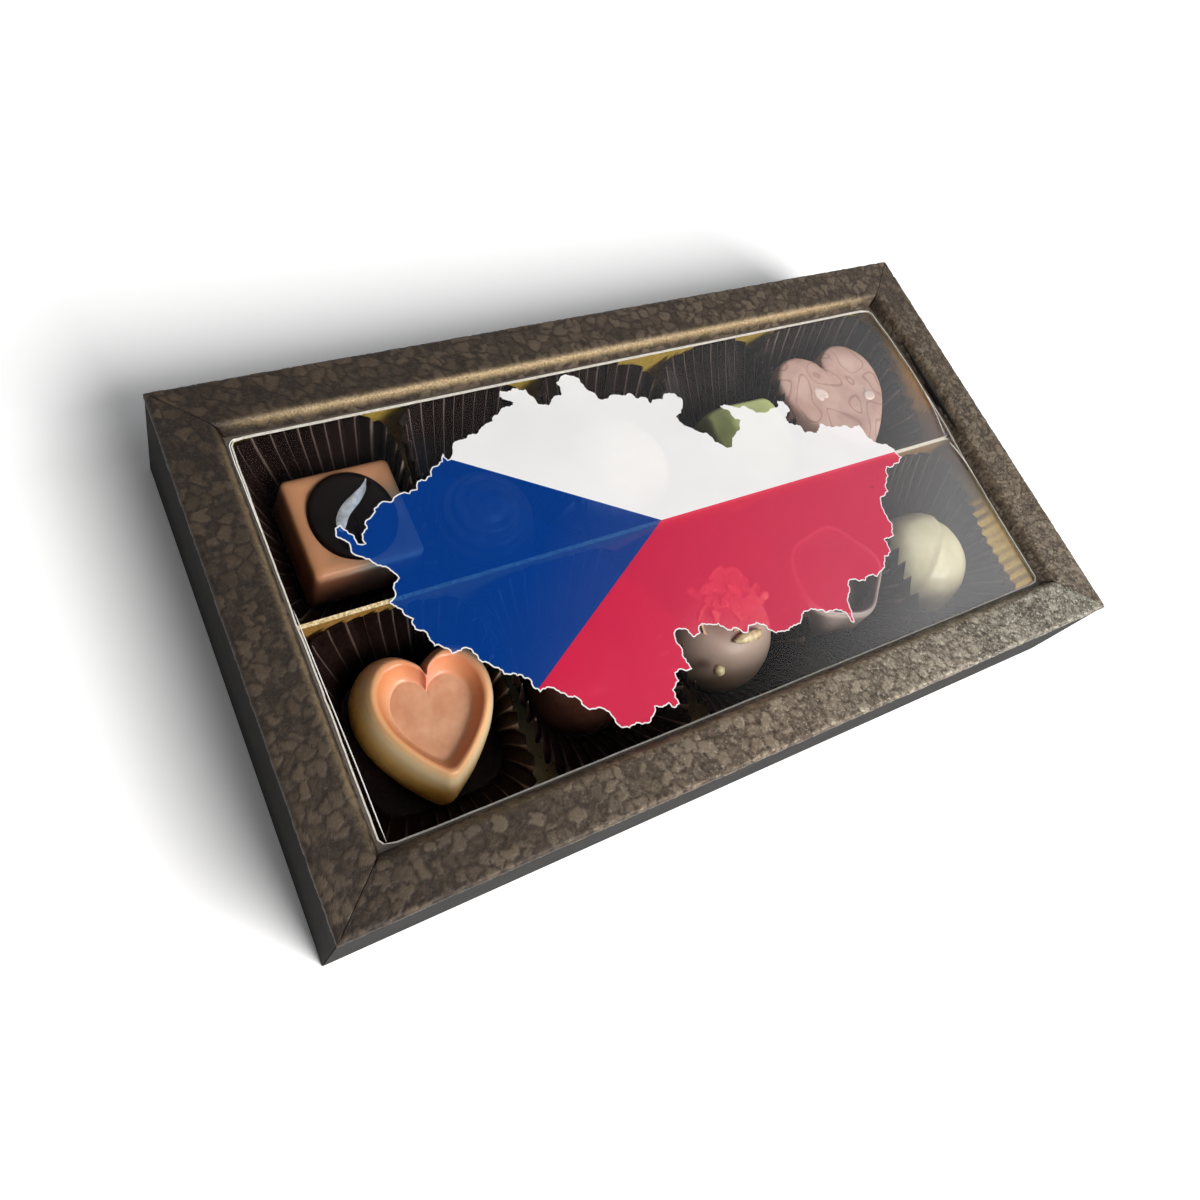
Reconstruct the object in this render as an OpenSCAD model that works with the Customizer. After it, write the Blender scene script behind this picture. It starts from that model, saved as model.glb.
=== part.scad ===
// Window chocolate box: a hollow-walled card tray with ten pralines in pleated paper cups,
// and a lift-off lid, a mitred frame round a clear film that carries a printed map.
// X runs along the box, Y from front to back, Z up. The origin is the middle of the underside.

/* [Box] */
// Length inside the gold lining
row_l = 197; // [197:1:230]
// Width inside the gold lining, across both rows
row_w = 101; // [101:1:120]
// Height of the closed box
box_h = 32; // [31.5:0.5:40]
// Width of the hollow wall, from the lid's edge to the inside of the gold lining
wall_zone = 11.5; // [9:0.5:16]
// Thickness of the tray's card
card = 1; // [0.6:0.1:1.3]
// Thickness of the gold lining card
lining_t = 0.5; // [0.3:0.1:0.8]
// Radius of the folds along the top of the hollow walls
wall_r = 0.4; // [0.2:0.1:0.8]
// How far the tray's walls stand in from the lid's edge
tray_inset = 0.3; // [0.1:0.1:0.8]
// Gap left at each mitred corner
mitre_gap = 0.15; // [0.1:0.05:0.4]

/* [Lid] */
// Thickness of the frame's board with its embossed paper
frame_t = 1.6; // [1.2:0.1:2.2]
// How far the frame's inner fold reaches past the hollow wall
fold_past = 0.9; // [0.7:0.1:2]
// How far the bevel inside the fold runs in
bevel_run = 1; // [0.6:0.1:2]
// Depth of the bevel, from the frame's face to its lower edge
bevel_drop = 3.5; // [3:0.1:5]
// Thickness of the bevel's flap
flap_t = 1; // [0.6:0.1:1.2]
// Radius of the frame's outer and inner folds
fold_r = 0.7; // [0.4:0.1:0.8]
// Seam between the frame and the tray's shelf
lid_seam = 0.3; // [0.2:0.1:0.6]
// White lip of the mounting card that shows inside the bevel
mount_lip = 0.7; // [0.4:0.1:1.5]
// Thickness of the white mounting card
mount_t = 0.6; // [0.4:0.1:0.9]
// Thickness of the clear film
film_t = 0.3; // [0.2:0.1:0.5]
// Play between the mounting card and the tray's inner wall
lid_play = 0.4; // [0.3:0.1:0.6]

/* [Print] */
// Length that one share of the map's outline stands for
map_reach = 100; // [70:1:101]
// Thickness of the printed ink
ink_t = 0.1; // [0.08:0.01:0.15]
// Width of the white line round the coloured fields
key_line = 0.45; // [0.2:0.05:0.8]

/* [Tray] */
// Height of the cushion pad under the gold sheet
pad_h = 4; // [3:0.5:4.5]
// Clear height between the lining's top and the film
top_clear = 0.4; // [0.3:0.1:0.8]
// Thickness of the divider
divider_t = 1; // [0.6:0.1:1.4]
// How far the divider stands back from the middle
divider_back = 1.2; // [0:0.1:1.5]
// Length of the divider's glued flanges
flange_l = 11; // [6:0.5:15]
// Bend radius where the divider opens into its flanges
flange_r = 3; // [2:0.5:5]

/* [Cups] */
// Height of a paper cup
cup_h = 15; // [12:0.5:16]
// Thickness of the cup's paper
cup_t = 0.25; // [0.2:0.05:0.3]
// Number of pleats round a cup
pleats = 28; // [20:1:32]
// Depth of the pleats at the rim
pleat_rim = 1.3; // [0.8:0.1:1.5]
// Depth of the pleats at the foot
pleat_foot = 0.5; // [0.3:0.1:0.6]
// Air between a praline's foot and its cup
cup_air = 0.45; // [0.4:0.05:0.6]
// Gap between the rims of neighbouring cups
cup_gap = 0.6; // [0.3:0.1:1.5]
// Clear length left among the pralines of the fuller row
row_clear = 48; // [40:1:90]
// Clear height from the tallest praline to the film
film_clear = 4.6; // [3:0.1:12]

/* [Pralines] */
// Side of the square praline
square_w = 27; // [22:0.5:27.5]
// Height of the square praline
square_h = 15.2; // [12:0.2:15.6]
// Width of the bean on the square praline
bean_w = 20.5; // [16:0.5:21]
// Length of the bean on the square praline
bean_l = 23; // [18:0.5:23.5]
// Height of the bean on the square praline
bean_h = 1.8; // [1:0.1:1.9]
// Diameter of the swirl praline
swirl_d = 28; // [22:0.5:28.5]
// Height of the swirl praline
swirl_h = 16.6; // [12:0.2:17]
// Diameter of the striped praline
dome_d = 32; // [24:0.5:32.5]
// Height of the striped praline
dome_h = 16.2; // [12:0.2:16.6]
// Height of the stripes over the dome
stripe_t = 0.5; // [0.3:0.1:0.5]
// Width of the pistachio praline
pistachio_w = 26; // [20:0.5:26.5]
// Depth of the pistachio praline, front to back
pistachio_d = 27; // [20:0.5:27.5]
// Height of the pistachio praline
pistachio_h = 17; // [12:0.2:17]
// Width of the marbled heart
marbled_w = 36; // [28:0.5:36]
// Length of the marbled heart
marbled_l = 33; // [26:0.5:34]
// Height of the marbled heart
marbled_h = 16.6; // [12:0.2:16.8]
// Thickness of the pale dots on the marbled heart
dot_t = 0.3; // [0.2:0.1:0.3]
// Width of the caramel heart
caramel_w = 31.5; // [26:0.5:32]
// Length of the caramel heart
caramel_l = 31.5; // [26:0.5:32]
// Height of the caramel heart
caramel_h = 16.6; // [12:0.2:17]
// Depth of the hollow in the caramel heart
caramel_dip = 4; // [3:0.5:6]
// Thickness of the filling in the caramel heart
filling_t = 1.6; // [1:0.1:2.5]
// Diameter of the plain praline
plain_d = 26; // [20:0.5:28]
// Height of the plain praline
plain_h = 15; // [12:0.2:17]
// Diameter of the nut praline
nut_d = 31; // [24:0.5:31]
// Height of the nut praline
nut_h = 15.2; // [12:0.2:15.5]
// Diameter of the dark shell at its belly
shell_d = 29.5; // [24:0.5:29.5]
// Height of the dark shell
shell_h = 16.8; // [12:0.2:17]
// Wall of the dark shell at its rim
shell_wall = 1.4; // [1:0.1:2.5]
// Depth of the dark shell's hollow above its filling
shell_depth = 6; // [3:0.5:9]
// Thickness of the filling in the dark shell
ganache_t = 2; // [1:0.1:3]
// Width of the white praline
white_w = 28; // [22:0.5:29]
// Length of the white praline
white_l = 29; // [22:0.5:30]
// Height of the white praline
white_h = 17; // [12:0.2:17]

/* [Hidden] */
$fn = 48;

// Overall sizes and levels
box_l = row_l + 2 * wall_zone;
box_w = row_w + 2 * wall_zone;
shelf_z = box_h - frame_t - lid_seam;
bevel_z = box_h - bevel_drop;
film_top = bevel_z - mount_t;
film_z = film_top - film_t;
lining_top = film_z - top_clear;
pad_z = card;
sheet_z = pad_z + pad_h;
cup_z = sheet_z + lining_t;
praline_z = cup_z + cup_t;
// Distances in from the lid's edge
panel_u = wall_zone - lining_t;
mount_u = panel_u + lid_play;
fold_u = wall_zone + fold_past;
bevel_u = fold_u + bevel_run;
window_u = bevel_u + mount_lip;
window_l = box_l - 2 * window_u;
window_w = box_w - 2 * window_u;
// One overrun serves every cut
over = card;
// Number of steps in a small fold, and round a praline
fold_steps = 4;
round_steps = 36;

// Lengths and depths of the pralines in each row, from the left
back_row = [[square_w, square_w], [swirl_d, swirl_d], [dome_d, dome_d], [pistachio_w, pistachio_d],
    [marbled_w, marbled_l]];
front_row = [[caramel_w, caramel_l], [plain_d, plain_d], [nut_d, nut_d], [shell_d, shell_d],
    [white_w, white_l]];
tallest = max(square_h + bean_h + stripe_t / 2, swirl_h, dome_h + stripe_t, pistachio_h,
    marbled_h + dot_t, caramel_h, plain_h, nut_h, shell_h, white_h);
// The pralines have their own sizes in a box that leaves the clearances above, and follow their
// room in any other box
plan_fit = (row_l - row_clear) / max(row_need(back_row), row_need(front_row));
height_fit = (film_z - praline_z - film_clear) / tallest;
// Each bay's share of its row's clear length, then where the praline stands off the bay's middle,
// as shares of the bay's clear length and depth
back_bay_shares = [[0.28, 0.3, 0], [0.21, -0.25, -0.27], [0.165, 0.05, -0.075], [0.16, 0.225, -0.37],
    [0.185, -0.27, -0.15]];
front_bay_shares = [[0.23, 0.2, 0.02], [0.305, -0.04, 0], [0.13, 0.18, -0.025], [0.1, -0.125, 0.02],
    [0.235, -0.14, -0.1]];
// Half depth of a cup's rim, as a share of its bay's depth
rim_depth_share = 0.455;

// Right half of a heart from its cleft to its tip, as shares of half its width and half its length
heart_shares = [[0, 0.66], [0.1, 0.84], [0.4, 1], [0.72, 0.93], [0.95, 0.62], [0.98, 0.22],
    [0.82, -0.2], [0.52, -0.62], [0.2, -0.9]];
heart_tip_shares = [[0, -1]];
// Outline of the pistachio praline: a straight back, a pointed corner and a round front
pistachio_outline_shares = [[-0.93, 0.89], [-0.5, 1], [0.4, 1], [0.85, 0.95], [1, 0.6], [1, 0.05],
    [0.85, -0.5], [0.45, -0.9], [-0.1, -1], [-0.6, -0.85], [-0.92, -0.4], [-0.98, 0.2], [-0.94, 0.7]];
// Outline of the white praline: a round shell with a step at its back right corner
white_outline_shares = [[-0.35, 0.98], [0.25, 1], [0.62, 0.86], [0.7, 0.68], [0.9, 0.42],
    [1, -0.02], [0.88, -0.5], [0.5, -0.87], [0, -1], [-0.5, -0.88], [-0.86, -0.5], [-1, 0],
    [-0.9, 0.5], [-0.68, 0.82]];
// Outline of the printed map, clockwise from the north-west corner of the white field
map_shares = [[-0.505, 0.33], [-0.5, 0.31], [-0.485, 0.32], [-0.47, 0.35], [-0.44, 0.355],
    [-0.405, 0.36], [-0.375, 0.38], [-0.35, 0.385], [-0.325, 0.405], [-0.29, 0.415], [-0.275, 0.425],
    [-0.29, 0.435], [-0.305, 0.45], [-0.295, 0.465], [-0.26, 0.465], [-0.23, 0.455], [-0.22, 0.43],
    [-0.215, 0.405], [-0.19, 0.395], [-0.175, 0.41], [-0.145, 0.415], [-0.135, 0.44],
    [-0.14, 0.455], [-0.125, 0.465], [-0.075, 0.455], [-0.07, 0.425], [-0.055, 0.405],
    [-0.05, 0.385], [0, 0.385], [0.04, 0.38], [0.055, 0.36], [0.075, 0.36], [0.09, 0.335],
    [0.1, 0.345], [0.13, 0.34], [0.145, 0.355], [0.17, 0.35], [0.185, 0.33], [0.175, 0.305],
    [0.14, 0.28], [0.15, 0.25], [0.17, 0.235], [0.2, 0.215], [0.215, 0.18], [0.235, 0.16],
    [0.255, 0.155], [0.27, 0.18], [0.31, 0.205], [0.325, 0.225], [0.305, 0.245], [0.285, 0.28],
    [0.315, 0.275], [0.355, 0.265], [0.37, 0.25], [0.405, 0.23], [0.455, 0.235], [0.47, 0.255],
    [0.485, 0.25], [0.49, 0.215], [0.465, 0.2], [0.465, 0.18], [0.495, 0.165], [0.5, 0.14],
    [0.535, 0.13], [0.555, 0.145], [0.565, 0.155], [0.585, 0.14], [0.62, 0.13], [0.64, 0.13],
    [0.66, 0.115], [0.685, 0.12], [0.69, 0.1], [0.7, 0.06], [0.715, 0.05], [0.74, 0.04],
    [0.755, 0.02], [0.755, 0.005], [0.765, -0.01], [0.74, -0.025], [0.71, -0.03], [0.695, -0.025],
    [0.68, -0.055], [0.655, -0.095], [0.615, -0.11], [0.605, -0.135], [0.6, -0.2], [0.59, -0.22],
    [0.555, -0.22], [0.55, -0.26], [0.525, -0.265], [0.5, -0.295], [0.47, -0.31], [0.445, -0.3],
    [0.425, -0.31], [0.39, -0.295], [0.37, -0.305], [0.355, -0.33], [0.34, -0.36], [0.335, -0.38],
    [0.33, -0.4], [0.325, -0.4], [0.32, -0.38], [0.31, -0.36], [0.285, -0.355], [0.25, -0.34],
    [0.23, -0.33], [0.205, -0.33], [0.18, -0.355], [0.125, -0.36], [0.085, -0.34], [0.065, -0.315],
    [0.04, -0.315], [0.03, -0.33], [0.005, -0.31], [-0.025, -0.3], [-0.035, -0.285],
    [-0.07, -0.275], [-0.085, -0.275], [-0.09, -0.29], [-0.115, -0.295], [-0.12, -0.275],
    [-0.145, -0.265], [-0.16, -0.29], [-0.155, -0.315], [-0.16, -0.345], [-0.155, -0.365],
    [-0.2, -0.36], [-0.2, -0.38], [-0.225, -0.395], [-0.225, -0.43], [-0.24, -0.435],
    [-0.25, -0.42], [-0.285, -0.415], [-0.3, -0.435], [-0.32, -0.445], [-0.345, -0.435],
    [-0.385, -0.43], [-0.39, -0.41], [-0.4, -0.385], [-0.435, -0.37], [-0.455, -0.33],
    [-0.47, -0.325], [-0.49, -0.3], [-0.505, -0.29], [-0.525, -0.295], [-0.535, -0.28],
    [-0.535, -0.26], [-0.565, -0.235], [-0.585, -0.23], [-0.605, -0.2], [-0.625, -0.175],
    [-0.645, -0.145], [-0.675, -0.15], [-0.695, -0.12], [-0.705, -0.12], [-0.71, -0.085],
    [-0.73, -0.07], [-0.725, -0.045], [-0.74, -0.02], [-0.76, 0.005], [-0.745, 0.015],
    [-0.74, 0.03], [-0.72, 0.055], [-0.735, 0.085], [-0.76, 0.105], [-0.795, 0.14],
    [-0.8, 0.175], [-0.815, 0.19], [-0.81, 0.21], [-0.795, 0.215], [-0.785, 0.19],
    [-0.775, 0.18], [-0.775, 0.16], [-0.76, 0.155], [-0.76, 0.18], [-0.74, 0.21], [-0.72, 0.22],
    [-0.71, 0.235], [-0.68, 0.245], [-0.67, 0.24], [-0.64, 0.255], [-0.62, 0.25], [-0.6, 0.255],
    [-0.59, 0.275], [-0.555, 0.28], [-0.545, 0.3], [-0.515, 0.31]];
// Where the three fields meet, and where the blue field's two edges leave the map
field_apex_shares = [-0.045, 0.012];
field_north_shares = [-0.5, 0.315];
field_south_shares = [-0.54, -0.295];

function arc(centre, r, from, to, steps) =
    [for (i = [0:steps]) let (a = from + (to - from) * i / steps) centre + r * [cos(a), sin(a)]];

// A smooth closed curve through the points, with so many steps from one to the next
function smooth_loop(points, steps) = let (n = len(points)) [for (i = [0:n - 1], k = [0:steps - 1])
    let (p0 = points[(i + n - 1) % n], p1 = points[i], p2 = points[(i + 1) % n],
        p3 = points[(i + 2) % n], t = k / steps)
    (2 * p1 + (p2 - p0) * t + (2 * p0 - 5 * p1 + 4 * p2 - p3) * t * t
        + (3 * p1 - p0 - 3 * p2 + p3) * t * t * t) / 2];

function scaled(points, half_l, half_w) = [for (p = points) [p[0] * half_l, p[1] * half_w]];
function turned(points, a) =
    [for (p = points) [p[0] * cos(a) - p[1] * sin(a), p[0] * sin(a) + p[1] * cos(a)]];
function reversed(points) = [for (i = [len(points) - 1:-1:0]) points[i]];
function mirrored_half(points) = [for (i = [len(points) - 1:-1:1]) [-points[i][0], points[i][1]]];
function heart_loop(w, l) = smooth_loop(reversed(scaled(concat(heart_shares, heart_tip_shares,
    mirrored_half(heart_shares)), w / 2, l / 2)), 2);
function shape_loop(shares, w, l) = smooth_loop(reversed(scaled(shares, w / 2, l / 2)), 3);

// A rounded square whose corners fill out as the power grows
function squircle(half_l, half_w, power, steps) = [for (i = [0:steps - 1])
    let (c = cos(360 * i / steps), s = sin(360 * i / steps),
        k = pow(pow(abs(c), power) + pow(abs(s), power), -1 / power))
    [half_l * c * k, half_w * s * k]];

// A square with round corners, each an arc of so many steps
function rounded_square(half, r, steps) = [for (q = [0:3])
    each arc((half - r) * sqrt(2) * [cos(45 + 90 * q), sin(45 + 90 * q)], r, 90 * q, 90 * (q + 1), steps)];

function total(values, n) = n == 0 ? 0 : values[n - 1] + total(values, n - 1);
function row_need(row) = total([for (size = row) size[0]], len(row));
function fitted(size) = plan_fit * size;
function raised(height) = height_fit * height;

// One bay of a row between two levels of Y: its middle, its half sizes, the praline's place and
// the praline's half sizes
function bay(row, shares, front, back, k) = let (clear_l = row_l - fitted(row_need(row)),
    lengths = [for (i = [0:k]) fitted(row[i][0]) + shares[i][0] * clear_l],
    middle = [total(lengths, k) + lengths[k] / 2 - row_l / 2, (front + back) / 2],
    stand = [shares[k][1] * shares[k][0] * clear_l, shares[k][2] * (back - front - fitted(row[k][1]))])
    [middle, [lengths[k], back - front] / 2, middle + stand, fitted(row[k]) / 2];
back_bays = [for (k = [0:len(back_row) - 1])
    bay(back_row, back_bay_shares, divider_back + divider_t / 2, row_w / 2, k)];
front_bays = [for (k = [0:len(front_row) - 1])
    bay(front_row, front_bay_shares, -row_w / 2, divider_back - divider_t / 2, k)];

// A closed solid through rings of as many points each, given as [level, points] from its foot on.
// Rings that turn back down make a hollow, whose facets then run as those of the outside do.
module loft(rings) {
    n = len(rings[0][1]);
    points = [for (r = rings) for (p = r[1]) [p[0], p[1], r[0]]];
    sides = [for (k = [0:len(rings) - 2], i = [0:n - 1])
        let (j = (i + 1) % n, a = k * n + i, b = k * n + j, c = a + n, d = b + n)
        each rings[k + 1][0] < rings[k][0] ? [[a, c, b], [c, d, b]] : [[a, c, d], [a, d, b]]];
    foot = [for (i = [0:n - 1]) i];
    head = [for (i = [n - 1:-1:0]) (len(rings) - 1) * n + i];
    polyhedron(points, concat(sides, [foot], [head]), 4);
}

// One outline drawn in by shares of itself at rising shares of a height
module puffed(outline, h, level_shares) {
    loft([for (s = level_shares) [s[0] * h, s[1] * outline]]);
}

// A bar of the given section along one side of the box, cut off at 45 degrees at both ends
module mitred_bar(section, side_l, depth) {
    cut = mitre_gap / sqrt(2);
    intersection() {
        rotate([90, 0, 90])
            linear_extrude(side_l, center = true)
                polygon(section);
        linear_extrude(2 * box_h + over, center = true)
            polygon([[-side_l / 2 + cut, 0], [side_l / 2 - cut, 0],
                [side_l / 2 - depth - cut, depth], [-side_l / 2 + depth + cut, depth]]);
    }
}
module at_front(inset) { translate([0, inset - box_w / 2, 0]) children(); }
module at_back(inset) { rotate(180) at_front(inset) children(); }
module at_left(inset) { translate([inset - box_l / 2, 0, 0]) rotate(-90) children(); }
module at_right(inset) { rotate(180) at_left(inset) children(); }

// The lid

frame_section = concat([[0, box_h - frame_t]],
    arc([fold_r, box_h - fold_r], fold_r, 180, 90, fold_steps),
    arc([fold_u - fold_r, box_h - fold_r], fold_r, 90, atan(bevel_run / bevel_drop), fold_steps),
    [[bevel_u, bevel_z], [bevel_u - flap_t, bevel_z],
        [fold_u + bevel_run * frame_t / bevel_drop - flap_t, box_h - frame_t]]);
module frame_bar(side_l) { color("#5c5242") mitred_bar(frame_section, side_l, bevel_u + over); }
module frame_front() { at_front(0) frame_bar(box_l); }
module frame_back() { at_back(0) frame_bar(box_l); }
module frame_left() { at_left(0) frame_bar(box_w); }
module frame_right() { at_right(0) frame_bar(box_w); }

module inset_plate(u, t) {
    linear_extrude(t) square([box_l - 2 * u, box_w - 2 * u], center = true);
}
module window_mount() {
    color("#e8e4dc") translate([0, 0, film_top]) difference() {
        inset_plate(mount_u, mount_t);
        translate([0, 0, -over]) inset_plate(window_u, mount_t + 2 * over);
    }
}
module window_film() {
    color("#c9d2d8", 0.35) translate([0, 0, film_z]) inset_plate(mount_u, film_t);
}

// The print is clipped to the window, so that no ink runs under the mounting card
module in_window() {
    intersection() {
        square([window_l, window_w], center = true);
        children();
    }
}
module map_outline() { in_window() polygon(map_reach * map_shares); }
module map_field(corners) {
    intersection() {
        offset(delta = -key_line) map_outline();
        polygon(corners);
    }
}
module blue_field() {
    map_field([map_reach * field_apex_shares, map_reach * field_north_shares,
        [-window_l, window_w], [-window_l, -window_w], map_reach * field_south_shares]);
}
module red_field() {
    map_field([map_reach * field_apex_shares, map_reach * field_south_shares,
        [-window_l / 2, -window_w], [window_l, -window_w],
        [window_l, map_reach * field_apex_shares[1]]]);
}
module inked() {
    translate([0, 0, film_top]) linear_extrude(ink_t) children();
}
module print_white() {
    color("#f0f0ee") inked() difference() {
        map_outline();
        blue_field();
        red_field();
    }
}
module print_blue() { color("#11408a") inked() blue_field(); }
module print_red() { color("#d7214b") inked() red_field(); }

// The tray

wall_section = concat([[0, 0]],
    arc([wall_r, shelf_z - wall_r], wall_r, 180, 90, fold_steps),
    arc([panel_u - tray_inset - wall_r, shelf_z - wall_r], wall_r, 90, 0, fold_steps),
    [[panel_u - tray_inset, card], [panel_u - tray_inset - card, card],
        [panel_u - tray_inset - card, shelf_z - card], [card, shelf_z - card], [card, 0]]);
module wall_bar(side_l) {
    color("#3c3b39") mitred_bar(wall_section, side_l - 2 * tray_inset, wall_zone);
}
module wall_front() { at_front(tray_inset) wall_bar(box_l); }
module wall_back() { at_back(tray_inset) wall_bar(box_l); }
module wall_left() { at_left(tray_inset) wall_bar(box_w); }
module wall_right() { at_right(tray_inset) wall_bar(box_w); }
module tray_floor() { color("#3c3b39") inset_plate(tray_inset + card, card); }

module cushion_pad() { color("#d8d2c4") translate([0, 0, pad_z]) inset_plate(panel_u, pad_h); }
module gold_sheet() { color("#c9a24a") translate([0, 0, sheet_z]) inset_plate(panel_u, lining_t); }
module lining_bar(side_l) {
    section = [[0, cup_z], [0, lining_top], [lining_t, lining_top], [lining_t, cup_z]];
    color("#c9a24a") mitred_bar(section, side_l - 2 * panel_u, lining_t + over);
}
module lining_front() { at_front(panel_u) lining_bar(box_l); }
module lining_back() { at_back(panel_u) lining_bar(box_l); }
module lining_left() { at_left(panel_u) lining_bar(box_w); }
module lining_right() { at_right(panel_u) lining_bar(box_w); }

// One leaf of the divider's end: half its thickness, bent outwards and glued to the lining
module divider_leaf() {
    leaf_t = divider_t / 2;
    translate([row_l / 2 - flange_r, 0]) {
        translate([-over, 0]) square([over, leaf_t]);
        translate([0, flange_r]) intersection() {
            difference() {
                circle(flange_r);
                circle(flange_r - leaf_t);
            }
            translate([0, -flange_r]) square(flange_r);
        }
        translate([flange_r - leaf_t, flange_r]) square([leaf_t, flange_l - flange_r]);
    }
}
module divider() {
    color("#cdb06a") translate([0, divider_back, cup_z]) linear_extrude(lining_top - cup_z) {
        square([row_l - 2 * flange_r, divider_t], center = true);
        for (sx = [0, 1], sy = [0, 1])
            mirror([sx, 0]) mirror([0, sy]) divider_leaf();
    }
}

// The paper cups: a pleated wall from a foot that fits the praline to a rim that fills its place

function pleated(centre, outline, depth, inward) = [for (i = [0:len(outline) - 1])
    let (r = norm(outline[i]), wave = (i % 2 == 0 ? depth : -depth) / 2)
    centre + outline[i] * (r + wave - inward) / r];

// How square a rim is, and a foot under each kind of praline
rim_power = 3.2;
round_power = 2.2;
oval_power = 2.6;
heart_power = 4.2;
block_power = 8;
square_power = 9;
module cup(bay, foot_power) {
    n = 2 * pleats;
    reach = cup_air + cup_t + pleat_foot / 2;
    rim_z = raised(cup_h);
    foot = squircle(bay[3][0] + reach, bay[3][1] + reach, foot_power, n);
    rim = squircle(bay[1][0] - (cup_gap + pleat_rim) / 2, 2 * rim_depth_share * bay[1][1], rim_power, n);
    color("#2a1d17") translate([0, 0, cup_z]) loft([
        [0, pleated(bay[2], foot, pleat_foot, 0)],
        [rim_z, pleated(bay[0], rim, pleat_rim, 0)],
        [rim_z, pleated(bay[0], rim, pleat_rim, cup_t)],
        [cup_t, pleated(bay[2], foot, pleat_foot, cup_t)]]);
}
module cup_back_1() { cup(back_bays[0], square_power); }
module cup_back_2() { cup(back_bays[1], round_power); }
module cup_back_3() { cup(back_bays[2], round_power); }
module cup_back_4() { cup(back_bays[3], block_power); }
module cup_back_5() { cup(back_bays[4], heart_power); }
module cup_front_1() { cup(front_bays[0], heart_power); }
module cup_front_2() { cup(front_bays[1], round_power); }
module cup_front_3() { cup(front_bays[2], round_power); }
module cup_front_4() { cup(front_bays[3], round_power); }
module cup_front_5() { cup(front_bays[4], oval_power); }

// The pralines: each stands on the foot of its cup

// Share of the outline left at each share of the height, for a moulded and for a domed praline
moulded_shares = [[0, 0.97], [0.06, 1], [0.5, 0.97], [0.84, 0.92], [0.96, 0.84], [1, 0.72]];
domed_shares = [[0, 0.96], [0.08, 1], [0.35, 0.98], [0.62, 0.88], [0.82, 0.7], [0.94, 0.46], [1, 0.2]];
rimmed_shares = [[0, 0.95], [0.1, 1], [0.45, 0.97], [0.75, 0.87], [0.92, 0.77], [1, 0.68]];

module seated(bay, turn = 0) {
    translate(concat(bay[2], praline_z)) rotate(turn) children();
}
module dome(r, h) {
    rotate_extrude() polygon(concat([[0, 0]], [for (i = [0:round_steps / 3])
        let (a = 270 * i / round_steps) [r * pow(cos(a), 0.8), h * pow(sin(a), 0.9)]]));
}

square_r = 2.5;
square_level_shares = [[0, 0.985], [0.08, 1], [0.9, 0.965], [1, 0.93]];
module square_praline() {
    color("#8a6a52") seated(back_bays[0])
        puffed(rounded_square(fitted(square_w) / 2, square_r, fold_steps + 1), raised(square_h),
            square_level_shares);
}
module bean(rise) {
    translate([0, 0, raised(square_h)])
        puffed(squircle(fitted(bean_w) / 2, fitted(bean_l) / 2, round_power, round_steps),
            raised(bean_h) + rise,
            [[0, 0.94], [0.25, 1], [0.6, 0.9], [0.85, 0.7], [1, 0.4]]);
}
module bean_topping() { color("#1c1214") seated(back_bays[0]) bean(0); }
// The pale glaze lies along the bean in a slim leaf from its front left to its back right
glaze_shares = [[-0.5, -0.72], [-0.1, -0.5], [0.25, 0.05], [0.3, 0.6], [0.12, 0.8], [-0.12, 0.35],
    [-0.42, -0.25]];
module bean_glaze() {
    color("#a9aab0") seated(back_bays[0]) intersection() {
        difference() {
            translate([0, 0, stripe_t / 2]) bean(0);
            bean(0);
        }
        linear_extrude(box_h)
            polygon(smooth_loop(scaled(glaze_shares, fitted(bean_w) / 2, fitted(bean_l) / 2), 4));
    }
}

swirl_turns = 5;
swirl_groove_share = 0.07;
module swirl_praline() {
    color("#3f2a20") seated(back_bays[1]) rotate_extrude()
        polygon(concat([[0, 0]], [for (k = [0:swirl_turns - 1], j = [0:3])
            let (a = 90 * (k + j / 4) / swirl_turns, s = j == 0 && k > 0 ? 1 - swirl_groove_share : 1)
            s * [fitted(swirl_d) / 2 * pow(cos(a), 0.8), raised(swirl_h) * pow(sin(a), 0.9)]],
            [[0, raised(swirl_h)]]));
}

module striped_praline() {
    color("#b59a8c") seated(back_bays[2]) dome(fitted(dome_d) / 2 - stripe_t, raised(dome_h));
}
stripe_count = 5;
module dome_stripes() {
    pitch = fitted(dome_d) / (stripe_count + 2);
    color("#e6d8cf") seated(back_bays[2]) difference() {
        intersection() {
            dome(fitted(dome_d) / 2, raised(dome_h) + stripe_t);
            translate([0, 0, raised(dome_h) / 2]) linear_extrude(raised(dome_h))
                for (i = [0:stripe_count - 1])
                    translate([0, (i - (stripe_count - 1) / 2) * pitch])
                        square([fitted(dome_d), pitch / 3], center = true);
        }
        dome(fitted(dome_d) / 2 - stripe_t, raised(dome_h));
    }
}

module pistachio_praline() {
    color("#8f9a5c") seated(back_bays[3])
        puffed(shape_loop(pistachio_outline_shares, fitted(pistachio_w), fitted(pistachio_d)),
            raised(pistachio_h), moulded_shares);
}

marbled_turn = 4;
// A flat top is left inside the rounded edge, and carries the dots
marbled_level_shares = [[0, 0.96], [0.08, 1], [0.4, 0.985], [0.68, 0.94], [0.86, 0.87], [0.96, 0.79],
    [1, 0.7]];
module marbled_heart() {
    color("#b08f85") seated(back_bays[4], marbled_turn)
        puffed(heart_loop(fitted(marbled_w), fitted(marbled_l)), raised(marbled_h), marbled_level_shares);
}
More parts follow.
